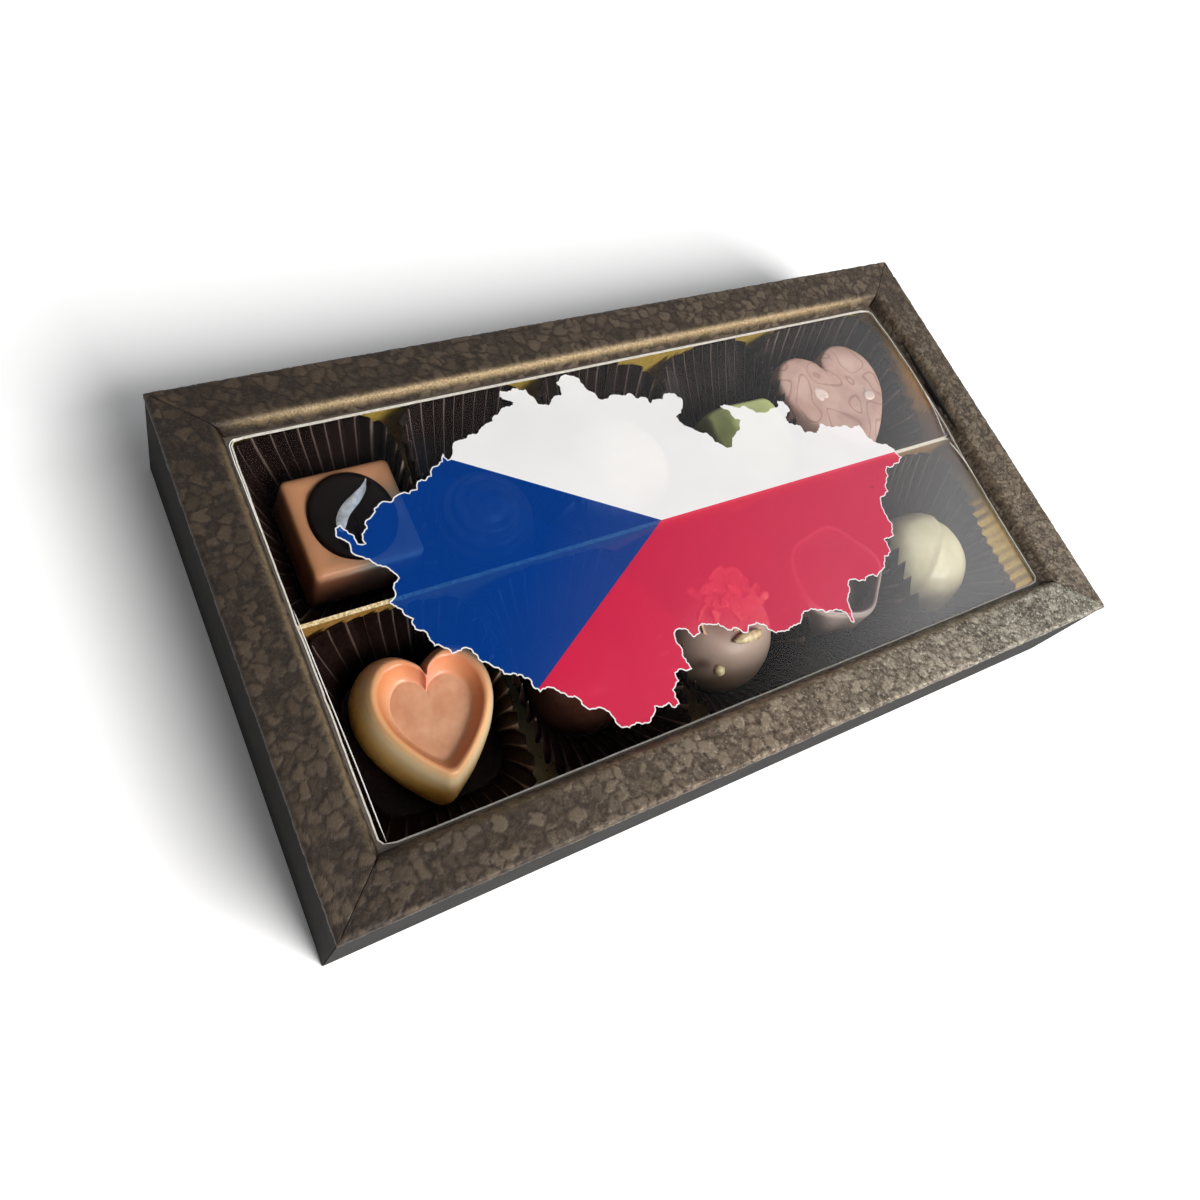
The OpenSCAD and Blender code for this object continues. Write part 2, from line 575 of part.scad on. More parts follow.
// Centres of the pale dots and their radii, as shares of half the heart's width
dot_shares = [[-0.33, 0.18, 0.12], [0.5, -0.06, 0.1], [0.42, 0.4, 0.08]];
module heart_dots() {
    half = fitted(marbled_w) / 2;
    color("#ead6cc") seated(back_bays[4], marbled_turn) for (d = dot_shares)
        translate([d[0] * half, d[1] * half, raised(marbled_h)])
            cylinder(r = d[2] * half, h = dot_t);
}

caramel_turn = -6;
dip_share = 0.48;
dip_mouth_share = 0.6;
module caramel_heart() {
    outline = heart_loop(fitted(caramel_w), fitted(caramel_l));
    top = raised(caramel_h);
    color("#c98b4f") seated(front_bays[0], caramel_turn)
        loft(concat([for (s = rimmed_shares) [s[0] * top, s[1] * outline]],
            [[top, dip_mouth_share * outline], [top - caramel_dip, dip_share * outline]]));
}
module caramel_filling() {
    color("#c2774d") seated(front_bays[0], caramel_turn)
        translate([0, 0, raised(caramel_h) - caramel_dip]) linear_extrude(filling_t)
            polygon(dip_share * heart_loop(fitted(caramel_w) - cup_air, fitted(caramel_l) - cup_air));
}

module plain_praline() {
    color("#4a3026") seated(front_bays[1]) dome(fitted(plain_d) / 2, raised(plain_h));
}

nut_r = fitted(nut_d) / 2;
nut_top = raised(nut_h);
module nut_dome() { dome(nut_r, nut_top); }
module nut_praline() { color("#8c7869") seated(front_bays[2]) nut_dome(); }
// Where the nut pieces sit on the dome: direction, share of the radius, radius, share of the height
nut_size = 2;
nut_place_shares = [[-2.24, 0.86, 0.9, 0.62], [-1.9, 0.5, 1, 0.9], [-1.62, 0.5, 0.9, 0.9],
    [-1.35, 0.53, 0.8, 0.88], [-0.7, 0.8, 0.7, 0.68], [0.3, 0.6, 0.8, 0.83], [1.9, 0.7, 0.8, 0.76]];
module nut_balls() {
    for (n = nut_place_shares)
        rotate(n[0] * 180 / PI)
            translate([n[1] * nut_r, 0, n[3] * nut_top])
                sphere(r = n[2] * nut_size, $fn = 24);
}
module nut_pieces() {
    color("#dcc58e") seated(front_bays[2]) difference() {
        nut_balls();
        nut_dome();
    }
}
// Thin crisp flakes lie over the back of the dome, each turned on from the last
flake_count = 16;
flake_w = 5;
flake_t = 1;
module crisp_bits() {
    color("#b08d6a") seated(front_bays[2]) difference() {
        for (i = [0:flake_count - 1])
            translate([0, nut_r / 4, 0]) rotate(137.5 * i)
                translate([nut_r * 0.6 * sqrt(i / flake_count), 0,
                    nut_top * (1 - 0.12 * i / flake_count)])
                    rotate([12 - 24 * (i % 3) / 2, 10 - 20 * (i % 2), 40 * i])
                        cube([flake_w, flake_w / 2, flake_t], center = true);
        nut_dome();
        nut_balls();
    }
}

flutes = 9;
flute_share = 0.03;
function fluted(r) = [for (i = [0:2 * round_steps - 1])
    let (a = 180 * i / round_steps) r * (1 + flute_share * (cos(flutes * a) - 1)) * [cos(a), sin(a)]];
shell_rim_share = 0.92;
shell_floor_share = 0.9;
shell_shares = [[0, 0.76], [0.15, 0.9], [0.45, 1], [0.8, 0.98], [1, shell_rim_share]];
module dark_shell() {
    r = fitted(shell_d) / 2;
    top = raised(shell_h);
    inner_r = r * shell_rim_share - shell_wall;
    color("#35221b") seated(front_bays[3])
        loft(concat([for (s = shell_shares) [s[0] * top, s[1] * fluted(r)]],
            [[top, fluted(inner_r)],
            [top - shell_depth - ganache_t, shell_floor_share * fluted(inner_r)]]));
}
module shell_filling() {
    r = fitted(shell_d) / 2 * shell_rim_share - shell_wall;
    color("#241610") seated(front_bays[3])
        translate([0, 0, raised(shell_h) - shell_depth - ganache_t])
            linear_extrude(ganache_t) polygon(shell_floor_share * fluted(r - cup_air));
}

module white_praline() {
    color("#e0dcb8") seated(front_bays[4])
        puffed(shape_loop(white_outline_shares, fitted(white_w), fitted(white_l)), raised(white_h),
            domed_shares);
}

frame_front();
frame_back();
frame_left();
frame_right();
window_mount();
window_film();
print_white();
print_blue();
print_red();
tray_floor();
wall_front();
wall_back();
wall_left();
wall_right();
cushion_pad();
gold_sheet();
lining_front();
lining_back();
lining_left();
lining_right();
divider();
cup_back_1();
cup_back_2();
cup_back_3();
cup_back_4();
cup_back_5();
cup_front_1();
cup_front_2();
cup_front_3();
cup_front_4();
cup_front_5();
square_praline();
bean_topping();
bean_glaze();
swirl_praline();
striped_praline();
dome_stripes();
pistachio_praline();
marbled_heart();
heart_dots();
caramel_heart();
caramel_filling();
plain_praline();
nut_praline();
nut_pieces();
crisp_bits();
dark_shell();
shell_filling();
white_praline();
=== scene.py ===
"""Looks of a window chocolate box: an embossed frame round a printed film, over pralines in pleated cups."""

import math

import bpy
import numpy as np
from mathutils import Matrix, Vector, geometry


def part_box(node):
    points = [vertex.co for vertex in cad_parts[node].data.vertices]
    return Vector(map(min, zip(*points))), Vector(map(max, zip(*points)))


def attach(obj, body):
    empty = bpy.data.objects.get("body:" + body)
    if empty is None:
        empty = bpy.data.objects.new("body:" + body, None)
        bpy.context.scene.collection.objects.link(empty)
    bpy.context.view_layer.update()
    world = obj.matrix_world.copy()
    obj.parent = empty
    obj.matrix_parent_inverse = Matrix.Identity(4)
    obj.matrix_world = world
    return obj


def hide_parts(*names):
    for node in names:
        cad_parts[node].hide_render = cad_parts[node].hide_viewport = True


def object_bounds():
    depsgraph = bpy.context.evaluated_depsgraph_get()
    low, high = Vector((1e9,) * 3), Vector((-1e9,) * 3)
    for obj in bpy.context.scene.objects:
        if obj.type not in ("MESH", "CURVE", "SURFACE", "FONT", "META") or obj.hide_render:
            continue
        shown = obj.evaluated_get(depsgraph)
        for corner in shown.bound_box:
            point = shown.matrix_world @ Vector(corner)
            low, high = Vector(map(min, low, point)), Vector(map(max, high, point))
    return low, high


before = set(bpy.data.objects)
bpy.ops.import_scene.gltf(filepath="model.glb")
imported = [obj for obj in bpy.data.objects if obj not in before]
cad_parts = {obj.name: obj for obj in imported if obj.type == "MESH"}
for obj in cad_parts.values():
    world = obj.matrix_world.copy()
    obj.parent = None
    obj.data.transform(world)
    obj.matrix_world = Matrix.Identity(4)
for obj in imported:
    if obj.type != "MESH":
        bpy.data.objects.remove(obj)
cad_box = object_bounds()

MM = 0.001
TAU = 2 * math.pi

# Places and sizes, in millimetres, worked out from the frame

BOX_L = (cad_box[1][0] - cad_box[0][0]) / MM
BOX_W = (cad_box[1][1] - cad_box[0][1]) / MM
BOX_H = cad_box[1][2] / MM


def box_of(node):
    low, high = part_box(node)
    return np.array(low) / MM, np.array(high) / MM


def place_of(node):
    """The middle of a node's foot, its half length, its half width and its height."""
    low, high = box_of(node)
    middle = (low + high) / 2
    half = (high - low) / 2
    return np.array([middle[0], middle[1], low[2]]), half[0], half[1], 2 * half[2]


# Node trees, written as short calls

WHITE = (1, 1, 1, 1)


def linear(color):
    """Colours written as 0 to 255, as a screen shows them, turned into light."""
    c = np.asarray(color, float) / 255
    return np.where(c <= 0.04045, c / 12.92, ((c + 0.055) / 1.055) ** 2.4)


class Tree:
    """A node tree. A colour is three numbers from 0 to 255, or four that are light already."""

    def __init__(self, tree, end):
        self.tree = tree
        self.end = tree.nodes[end].inputs["Surface"]

    def feed(self, socket, value):
        if isinstance(value, bpy.types.NodeSocket):
            self.tree.links.new(value, socket)
        elif socket.type == "RGBA" and len(value) == 3:
            socket.default_value = (*linear(value), 1)
        elif value is not None:
            socket.default_value = value

    def make(self, kind, inputs, out=0, **settings):
        """A new node with its inputs fed, by name or number, and one of its outputs."""
        n = self.tree.nodes.new("ShaderNode" + kind)
        for key, value in settings.items():
            setattr(n, key, value)
        for key, value in inputs.items():
            self.feed(n.inputs[key], value)
        return n.outputs[out]

    def math(self, operation, a, b=None):
        return self.make("Math", {0: a, 1: b}, operation=operation)

    def seen(self):
        """1 for the rays that look: from the camera, off gloss and through glass."""
        rays = self.tree.nodes.new("ShaderNodeLightPath").outputs
        glossy = self.math("MAXIMUM", rays["Is Camera Ray"], rays["Is Glossy Ray"])
        return self.math("MAXIMUM", glossy, rays["Is Transmission Ray"])

    def surface(self, factor, first, second):
        """Shows the first shader and, by the factor, the second."""
        self.feed(self.end, self.make("MixShader", {0: factor, 1: first, 2: second}))


SOCKETS = {
    "color": "Base Color", "rough": "Roughness", "metal": "Metallic", "ior": "IOR",
    "spec": "Specular IOR Level", "coat": "Coat Weight", "coat_rough": "Coat Roughness",
    "soft": "Subsurface Weight", "soft_reach": "Subsurface Scale",
}


class Shade(Tree):
    """A material's node tree with its Principled shader, which takes the looks named in SOCKETS."""

    def __init__(self, name, coat_rough=0.1, **looks):
        self.mat = bpy.data.materials.new(name)
        self.mat.use_nodes = True
        super().__init__(self.mat.node_tree, "Material Output")
        self.main = self.tree.nodes["Principled BSDF"]
        self.shader = self.main.outputs[0]
        self.put(coat_rough=coat_rough, **looks)
        # The point in millimetres, in the object's own frame
        coords = self.make("TexCoord", {}, "Object")
        self.point = self.make("VectorMath", {0: coords, "Scale": 1 / MM}, operation="SCALE")

    def put(self, **looks):
        for key, value in looks.items():
            self.feed(self.main.inputs[SOCKETS[key]], value)

    def along(self, direction):
        """How far the point lies along a direction, in millimetres."""
        return self.make("VectorMath", {0: self.point, 1: direction}, "Value", operation="DOT_PRODUCT")

    def noise(self, size, detail=3.0, rough=0.55, warp=0.0, w=0.0):
        """Noise whose features are about size millimetres across, as a value near 0.5."""
        inputs = {"Vector": self.point, "W": w, "Scale": 1 / size}
        inputs |= {"Detail": detail, "Roughness": rough, "Distortion": warp}
        return self.make("TexNoise", inputs, noise_dimensions="4D")

    def ramp(self, value, *stops):
        """Colours along a value: each stop is (place, colour)."""
        n = self.tree.nodes.new("ShaderNodeValToRGB")
        self.feed(n.inputs[0], value)
        elements = n.color_ramp.elements
        while len(elements) < len(stops):
            elements.new(0.5)
        for element, (place, color) in zip(elements, stops):
            element.position = place
            element.color = (*linear(color), 1)
        return n.outputs[0]

    def remap(self, value, low, high, to_low=0.0, to_high=1.0):
        return self.make("MapRange", dict(enumerate((value, low, high, to_low, to_high))))

    def mix(self, factor, a, b):
        return self.make("Mix", {0: factor, 6: a, 7: b}, 2, data_type="RGBA")

    def attribute(self, name, out="Fac"):
        return self.make("Attribute", {}, out, attribute_name=name)

    def facing_up(self, low, high):
        """0 where the normal's rise is low and 1 where it is high."""
        normal = self.make("NewGeometry", {}, "Normal")
        return self.remap(self.make("SeparateXYZ", {0: normal}, 2), low, high)

    def bump(self, height, depth, strength=1.0):
        """A bump of so many millimetres, on top of the bumps before it."""
        inputs = {"Strength": strength, "Distance": depth * MM, "Height": height}
        normal = self.main.inputs["Normal"]
        for link in normal.links:
            inputs["Normal"] = link.from_socket
        self.feed(normal, self.make("Bump", inputs))


# Meshes, in millimetres


def placed(name, data):
    thing = bpy.data.objects.new(name, data)
    bpy.context.scene.collection.objects.link(thing)
    return thing


def mesh_piece(name, points, faces, material, smooth=True, sharp_deg=40):
    mesh = bpy.data.meshes.new(name)
    mesh.from_pydata((np.asarray(points, float) * MM).tolist(), [], faces)
    mesh.validate()
    mesh.update()
    mesh.materials.append(material)
    if smooth:
        mesh.shade_smooth()
        mesh.set_sharp_from_angle(angle=math.radians(sharp_deg))
    return placed(name, mesh)


def settle(piece, node, body="tray"):
    """Hangs the piece on the body it rides on, and hides the node it stands for."""
    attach(piece, body)
    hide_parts(node)


def grid(x, y, z):
    """Points from coordinates that are spread over one another's rows and columns."""
    return np.stack(np.broadcast_arrays(x, y, z), -1)


def ring_faces(rows, count, first=0):
    """Quads between rings of count points each."""
    faces = []
    for r in range(rows - 1):
        a, b = first + r * count, first + (r + 1) * count
        faces += [(a + i, a + (i + 1) % count, b + (i + 1) % count, b + i) for i in range(count)]
    return faces


def flipped(faces):
    return [f[::-1] for f in faces]


def tubes(name, parts, material, flip=False, **look):
    """A piece of closed tubes, each given as its rings of points, with a flat cap at each end."""
    points, faces = [], []
    for rings in parts:
        rows, count = rings.shape[:2]
        first = len(points)
        last = first + (rows - 1) * count
        faces += ring_faces(rows, count, first)
        faces += [tuple(range(first, first + count))[::-1], tuple(range(last, last + count))]
        points += rings.reshape(-1, 3).tolist()
    return mesh_piece(name, points, flipped(faces) if flip else faces, material, **look)


def fanned(rings, foot, head, first=0):
    """Points and faces of a solid through rings, with a fan to a point at each end."""
    rows, count = rings.shape[:2]
    end = first + rows * count
    last = end - count
    faces = ring_faces(rows, count, first)
    for i in range(count):
        after = (i + 1) % count
        faces += [(end, first + after, first + i), (end + 1, last + i, last + after)]
    return [*rings.reshape(-1, 3), foot, head], faces


def ringed(name, rings, material, **look):
    """A closed solid through rings of points, from its foot on."""
    rings = np.asarray(rings, float)
    return mesh_piece(name, *fanned(rings, rings[0].mean(0), rings[-1].mean(0)), material, **look)


def moulded(name, node, rings, material, sharp_deg=180):
    """A piece through rings that stands for a node of the tray."""
    piece = ringed(name, rings, material, sharp_deg=sharp_deg)
    settle(piece, node)
    return piece


def paint(piece, colors):
    """Stores a colour for each vertex, written as 0 to 255, for the material to read."""
    c = linear(np.clip(colors, 0, 255))
    attribute = piece.data.color_attributes.new("tint", "FLOAT_COLOR", "POINT")
    attribute.data.foreach_set("color", np.column_stack([c, np.ones(len(c))]).astype(np.float32).ravel())


def store(piece, name, values):
    attribute = piece.data.attributes.new(name, "FLOAT", "POINT")
    attribute.data.foreach_set("value", np.asarray(values, np.float32).ravel())


def points_of(piece):
    co = np.zeros(len(piece.data.vertices) * 3, np.float32)
    piece.data.vertices.foreach_get("co", co)
    return co.reshape(-1, 3) / MM


# Patterns worked out on arrays of points


def scatter(ix, iy, seed):
    """A repeatable value from 0 to 1 for each whole-number cell."""
    v = np.sin(ix * 127.1 + iy * 311.7 + seed * 74.7) * 43758.5453
    return v - np.floor(v)


def cell_edges(x, y, size, seed=0):
    """Distance from the border between jittered cells, as a share of their size, and the cell's value."""
    gx, gy = x / size, y / size
    ix, iy = np.floor(gx), np.floor(gy)
    nearest = np.full(x.shape, 9.0)
    second = np.full(x.shape, 9.0)
    value = np.zeros(x.shape)
    for dx in (-1, 0, 1):
        for dy in (-1, 0, 1):
            cx, cy = ix + dx, iy + dy
            d = np.hypot(cx + scatter(cx, cy, seed) - gx, cy + scatter(cx, cy, seed + 9) - gy)
            closer = d < nearest
            second = np.where(closer, nearest, np.minimum(second, d))
            value = np.where(closer, scatter(cx, cy, seed + 5), value)
            nearest = np.where(closer, d, nearest)
    return second - nearest, value


def smooth_noise(x, y, size, seed=0):
    """Rolling noise from -1 to 1 with features about size across."""
    gx, gy = x / size, y / size
    ix, iy = np.floor(gx), np.floor(gy)
    fx, fy = gx - ix, gy - iy
    fx, fy = fx * fx * (3 - 2 * fx), fy * fy * (3 - 2 * fy)
    a, b = scatter(ix, iy, seed), scatter(ix + 1, iy, seed)
    c, d = scatter(ix, iy + 1, seed), scatter(ix + 1, iy + 1, seed)
    return 2 * ((a + (b - a) * fx) * (1 - fy) + (c + (d - c) * fx) * fy) - 1


def eased(v, low, high):
    t = np.clip((v - low) / (high - low), 0, 1)
    return t * t * (3 - 2 * t)


def stepped(stops, t):
    """Values along stops of (place, value)."""
    return np.interp(t, *zip(*stops))


def blended(stops, t):
    """Colours along stops of (place, colour)."""
    places, colors = zip(*stops)
    return np.stack([np.interp(t, places, channel) for channel in zip(*colors)], -1)


def toward(colors, other, share):
    """Colours moved by a share for each towards another colour."""
    return colors * (1 - share) + np.array(other) * share


# Materials

# The way to the box's right front corner, towards which the film and its inks get a painted haze of reflected
# light
PAINTED_HAZE_WAY = (1.0, -0.9, 0.0)


def frame_paper():
    """Bronze paper with a hammered grain: brown in its hollows; warmer, paler, more metallic and flecked with
    painted glints where its painted sheen is high, with a painted highlight along the inner fold.
    """
    s = Shade("frame_paper", ior=1.45, spec=0.25)
    relief, painted_sheen, fold = (s.attribute(name) for name in ("relief", "painted_sheen", "fold"))
    grain = s.noise(0.5, detail=4, rough=0.7)
    patch = s.noise(6, w=3)
    speck = s.noise(0.6, rough=0.75, w=7)
    tone = s.ramp(relief, (0.1, (8, 5, 4)), (0.4, (34, 25, 19)), (0.85, (66, 54, 42)))
    tone = s.mix(s.remap(patch, 0.4, 0.62, 0.0, 0.5), tone, (22, 14, 10))
    tone = s.mix(s.remap(grain, 0.52, 0.75, 0.0, 0.3), tone, (84, 70, 54))
    # Painted sheen: the tones turn warmer, then paler, where the rail's painted sheen is high
    warm = s.ramp(relief, (0.1, (38, 30, 23)), (0.4, (94, 80, 66)), (0.85, (140, 125, 107)))
    tone = s.mix(s.remap(painted_sheen, 0.0, 0.65, 0.0, 0.9), tone, warm)
    pale = s.ramp(relief, (0.15, (60, 57, 50)), (0.5, (120, 116, 105)), (0.9, (152, 149, 137)))
    tone = s.mix(s.remap(painted_sheen, 0.5, 1.0, 0.0, 0.85), tone, pale)
    pitted = s.math("MULTIPLY", s.remap(painted_sheen, 0.35, 1.0), s.remap(speck, 0.48, 0.38, 0.0, 0.7))
    tone = s.mix(pitted, tone, (30, 27, 23))
    # Painted glints: pale flecks where the painted sheen is high
    glint = s.math("MULTIPLY", s.remap(painted_sheen, 0.2, 1.0, 0.05, 1.0), s.remap(speck, 0.54, 0.68, 0.0, 0.8))
    tone = s.mix(glint, tone, (206, 202, 186))
    # Painted highlight along the inner fold, broken up by the grain
    painted_fold_share = s.math("MULTIPLY", fold, s.remap(grain, 0.35, 0.6, 0.35, 1.0))
    s.put(color=s.mix(painted_fold_share, tone, (196, 170, 128)))
    s.put(metal=s.remap(painted_sheen, 0.0, 1.0, 0.1, 0.6))
    s.put(rough=s.remap(speck, 0.35, 0.7, 0.54, 0.36))
    s.bump(grain, 0.12)
    s.bump(speck, 0.1)
    return s.mat


def wall_card():
    s = Shade("wall_card", ior=1.45, spec=0.003)
    mottle = s.noise(14)
    fibre = s.noise(0.6, w=2)
    tone = s.ramp(mottle, (0.3, (48, 47, 46)), (0.7, (58, 57, 56)))
    s.put(color=s.mix(s.remap(fibre, 0.4, 0.8, 0.0, 0.3), tone, (74, 73, 71)))
    s.put(rough=s.remap(fibre, 0.3, 0.7, 0.44, 0.6))
    s.bump(fibre, 0.04)
    return s.mat


def mount_card():
    """Fibrous card: white where it is cut and dark elsewhere, as its vertex colours say."""
    s = Shade("mount_card", rough=0.6)
    fibre = s.noise(0.8)
    stain = s.remap(fibre, 0.35, 0.65, 0.35, 0.0)
    s.put(color=s.mix(stain, s.attribute("tint", "Color"), (120, 110, 96)))
    s.bump(fibre, 0.05)
    return s.mat


def clear_film():
    """Clear film: mostly a pass-through, with a soft haze at a glancing look and a painted haze of reflected
    light that grows towards the right front corner.
    """
    s = Shade("clear_film", color=(202, 201, 202), rough=0.46, metal=1.0)
    s.bump(s.noise(38, detail=1, warp=0.4), 0.5, 0.3)
    glance = s.remap(s.make("LayerWeight", {"Blend": 0.5}, "Facing"), 0.08, 0.36, 0.0, 0.23)
    painted_haze = s.remap(s.along(PAINTED_HAZE_WAY), 20, 100, 0.0, 0.31)
    haze = s.math("ADD", s.math("MULTIPLY", glance, glance), s.math("MULTIPLY", painted_haze, painted_haze))
    s.surface(haze, s.make("BsdfTransparent", {}), s.shader)
    return s.mat


def ink(name, color, cover, tint):
    """Printed ink on the film: it lets some light through, so that what lies under it shows a little."""
    s = Shade(name, rough=0.32, ior=1.45, spec=0.1)
    ground = s.ramp(s.noise(26, detail=2), (0.3, tuple(c * 0.97 for c in color)), (0.7, color))
    # A painted haze of reflected light: the ink turns paler towards the right front corner
    painted_haze = s.remap(s.along(PAINTED_HAZE_WAY), -40, 60, 0.0, 0.1)
    s.put(color=s.mix(painted_haze, ground, (236, 226, 236)))
    shadow = s.make("LightPath", {}, "Is Shadow Ray")
    clear = s.make("BsdfTransparent", {"Color": (*tint, 1)})
    s.surface(s.remap(shadow, 0.0, 1.0, cover, cover * 0.3), clear, s.shader)
    return s.mat


def gold_card():
    """Card with gold foil on its sides, and pale raw board where it looks up."""
    s = Shade("gold_card", metal=0.6)
    brushed = s.noise(1.2, detail=4, rough=0.7)
    foil = s.ramp(brushed, (0.3, (226, 178, 72)), (0.7, (255, 224, 108)))
    s.put(color=s.mix(s.facing_up(0.7, 0.9), foil, (226, 212, 184)))
    s.put(rough=s.remap(brushed, 0.3, 0.7, 0.24, 0.46))
    s.bump(brushed, 0.05)
    return s.mat


def divider_card():
    """Gold foil sides, and a cut top edge of pale board flecked with foil, with a painted glare that makes it
    paler to the right.
    """
    s = Shade("divider_card", rough=0.38)
    fleck = s.noise(0.5, rough=0.8)
    top = s.facing_up(0.6, 0.9)
    foil = s.ramp(fleck, (0.3, (150, 104, 44)), (0.7, (226, 178, 100)))
    cut = s.ramp(fleck, (0.34, (150, 118, 66)), (0.5, (222, 196, 140)), (0.64, (252, 244, 220)))
    glare = s.remap(s.along((1.0, 0.0, 0.0)), 40, 90, 0.0, 0.7)
    s.put(color=s.mix(top, foil, s.mix(glare, cut, (255, 250, 240))))
    s.put(metal=s.remap(top, 0.0, 1.0, 0.5, 0.1))
    s.bump(fleck, 0.08)
    return s.mat


def pad_paper():
    s = Shade("pad_paper", color=(216, 208, 190), rough=0.8)
    s.bump(s.noise(1.5), 0.2)
    return s.mat


def cup_paper():
    """Dark glassine: thin, a little glossy, with a painted highlight along the crests of the pleats."""
    s = Shade("cup_paper", ior=1.4, spec=0.07)
    fibre = s.noise(1.1, detail=4, rough=0.7)
    tone = s.ramp(fibre, (0.3, (12, 7, 6)), (0.7, (32, 20, 17)))
    s.put(color=s.mix(s.remap(s.attribute("crest_highlight"), 0.1, 1.0, 0.0, 0.85), tone, (150, 130, 120)))
    s.put(rough=s.remap(fibre, 0.3, 0.7, 0.32, 0.5))
    s.bump(s.noise(3.4, detail=2, w=5), 0.25)
    return s.mat


def chocolate(name, dark, light, rough=0.38, coat=0.1, patch=6.0, tint=False, bump=0.04, gloss=0.25):
    """Moulded chocolate: cloudy colour, fine pores and a soft gloss. With tint, the vertex colours lead."""
    s = Shade(name, ior=1.46, coat=coat, coat_rough=0.22, spec=gloss)
    cloud = s.noise(patch, detail=4, rough=0.6, warp=0.4)
    pores = s.noise(0.7, rough=0.7, w=4)
    tone = s.ramp(cloud, (0.3, dark), (0.68, light))
    s.put(color=s.mix(0.82, tone, s.attribute("tint", "Color")) if tint else tone)
    s.put(rough=s.remap(pores, 0.3, 0.7, rough - 0.06, rough + 0.1))
    s.put(soft=0.06, soft_reach=0.002)
    s.bump(cloud, 0.12)
    s.bump(pores, bump)
    return s.mat


def marbled_chocolate():
    """Rose chocolate with thin brown swirls, the contours of a slow noise."""
    s = Shade("marbled_chocolate", rough=0.42, coat=0.08, coat_rough=0.25)
    cloud = s.noise(7, detail=2, w=5)
    turn = s.math("FRACT", s.math("MULTIPLY", s.noise(9, detail=0, warp=0.5, w=2), 5.5))
    vein = s.remap(s.math("ABSOLUTE", s.math("SUBTRACT", turn, 0.5)), 0.05, 0.11, 0.6, 0.0)
    ground = s.ramp(cloud, (0.35, (186, 148, 136)), (0.65, (208, 174, 161)))
    s.put(color=s.mix(vein, ground, (150, 108, 100)))
    s.bump(cloud, 0.15)
    s.bump(s.noise(0.8, w=2), 0.04)
    return s.mat


def plain(name, color, rough=0.4, coat=0.0, grain=1.0, shade=0.75):
    """A small piece of one stuff: its colour with a cloudy darker grain."""
    s = Shade(name, rough=rough, coat=coat)
    cloud = s.noise(grain)
    s.put(color=s.ramp(cloud, (0.3, tuple(c * shade for c in color)), (0.66, color)))
    s.bump(cloud, 0.08)
    return s.mat


PAPER = frame_paper()
MOUNT = mount_card()
CUP = cup_paper()
GOLD = gold_card()

# The frame: four mitred rails of board, covered in crackled paper

FOLD_U = 12.4
BOARD_T = 1.6
BEVEL_RUN = 1.0
FLAP_T = 1.0
OUTER_R = 1.1
INNER_R = 1.8
MITRE_GAP = 0.15
BEVEL_Z = box_of("frame_front")[0][2]
STEP = 0.42
GRAIN_DEPTH = 0.3
# How much narrower the right rail is, from its front end (-1) to its back end (1)
RIGHT_BOW = ((-1, 0), (-0.3, 0.2), (-0.1, 0.9), (0.05, 1.8), (0.3, 2.4), (0.7, 1.7), (1, 0))


def arc(u, z, radius, start_deg, end_deg, steps):
    a = np.radians(np.linspace(start_deg, end_deg, steps))
    return np.stack([u + radius * np.cos(a), z + radius * np.sin(a)], -1)


def frame_profile():
    """The rail's section from its lower outer edge over the top to the bevel's foot."""
    lean = math.degrees(math.atan(BEVEL_RUN / (BOX_H - BEVEL_Z)))
    outer = arc(OUTER_R, BOX_H - OUTER_R, OUTER_R, 180, 90, 5)
    flat = [(u, BOX_H) for u in np.arange(OUTER_R + STEP, FOLD_U - INNER_R, STEP)]
    fold = arc(FOLD_U - INNER_R, BOX_H - INNER_R, INNER_R, 90, lean, 9)
    bevel = np.linspace(fold[-1], (FOLD_U + BEVEL_RUN, BEVEL_Z), 8)[1:]
    return np.vstack([[(0, BOX_H - BOARD_T)], outer, flat, fold, bevel])


def turned(x, y, angle):
    c, s = math.cos(angle), math.sin(angle)
    return c * x - s * y, s * x + c * y


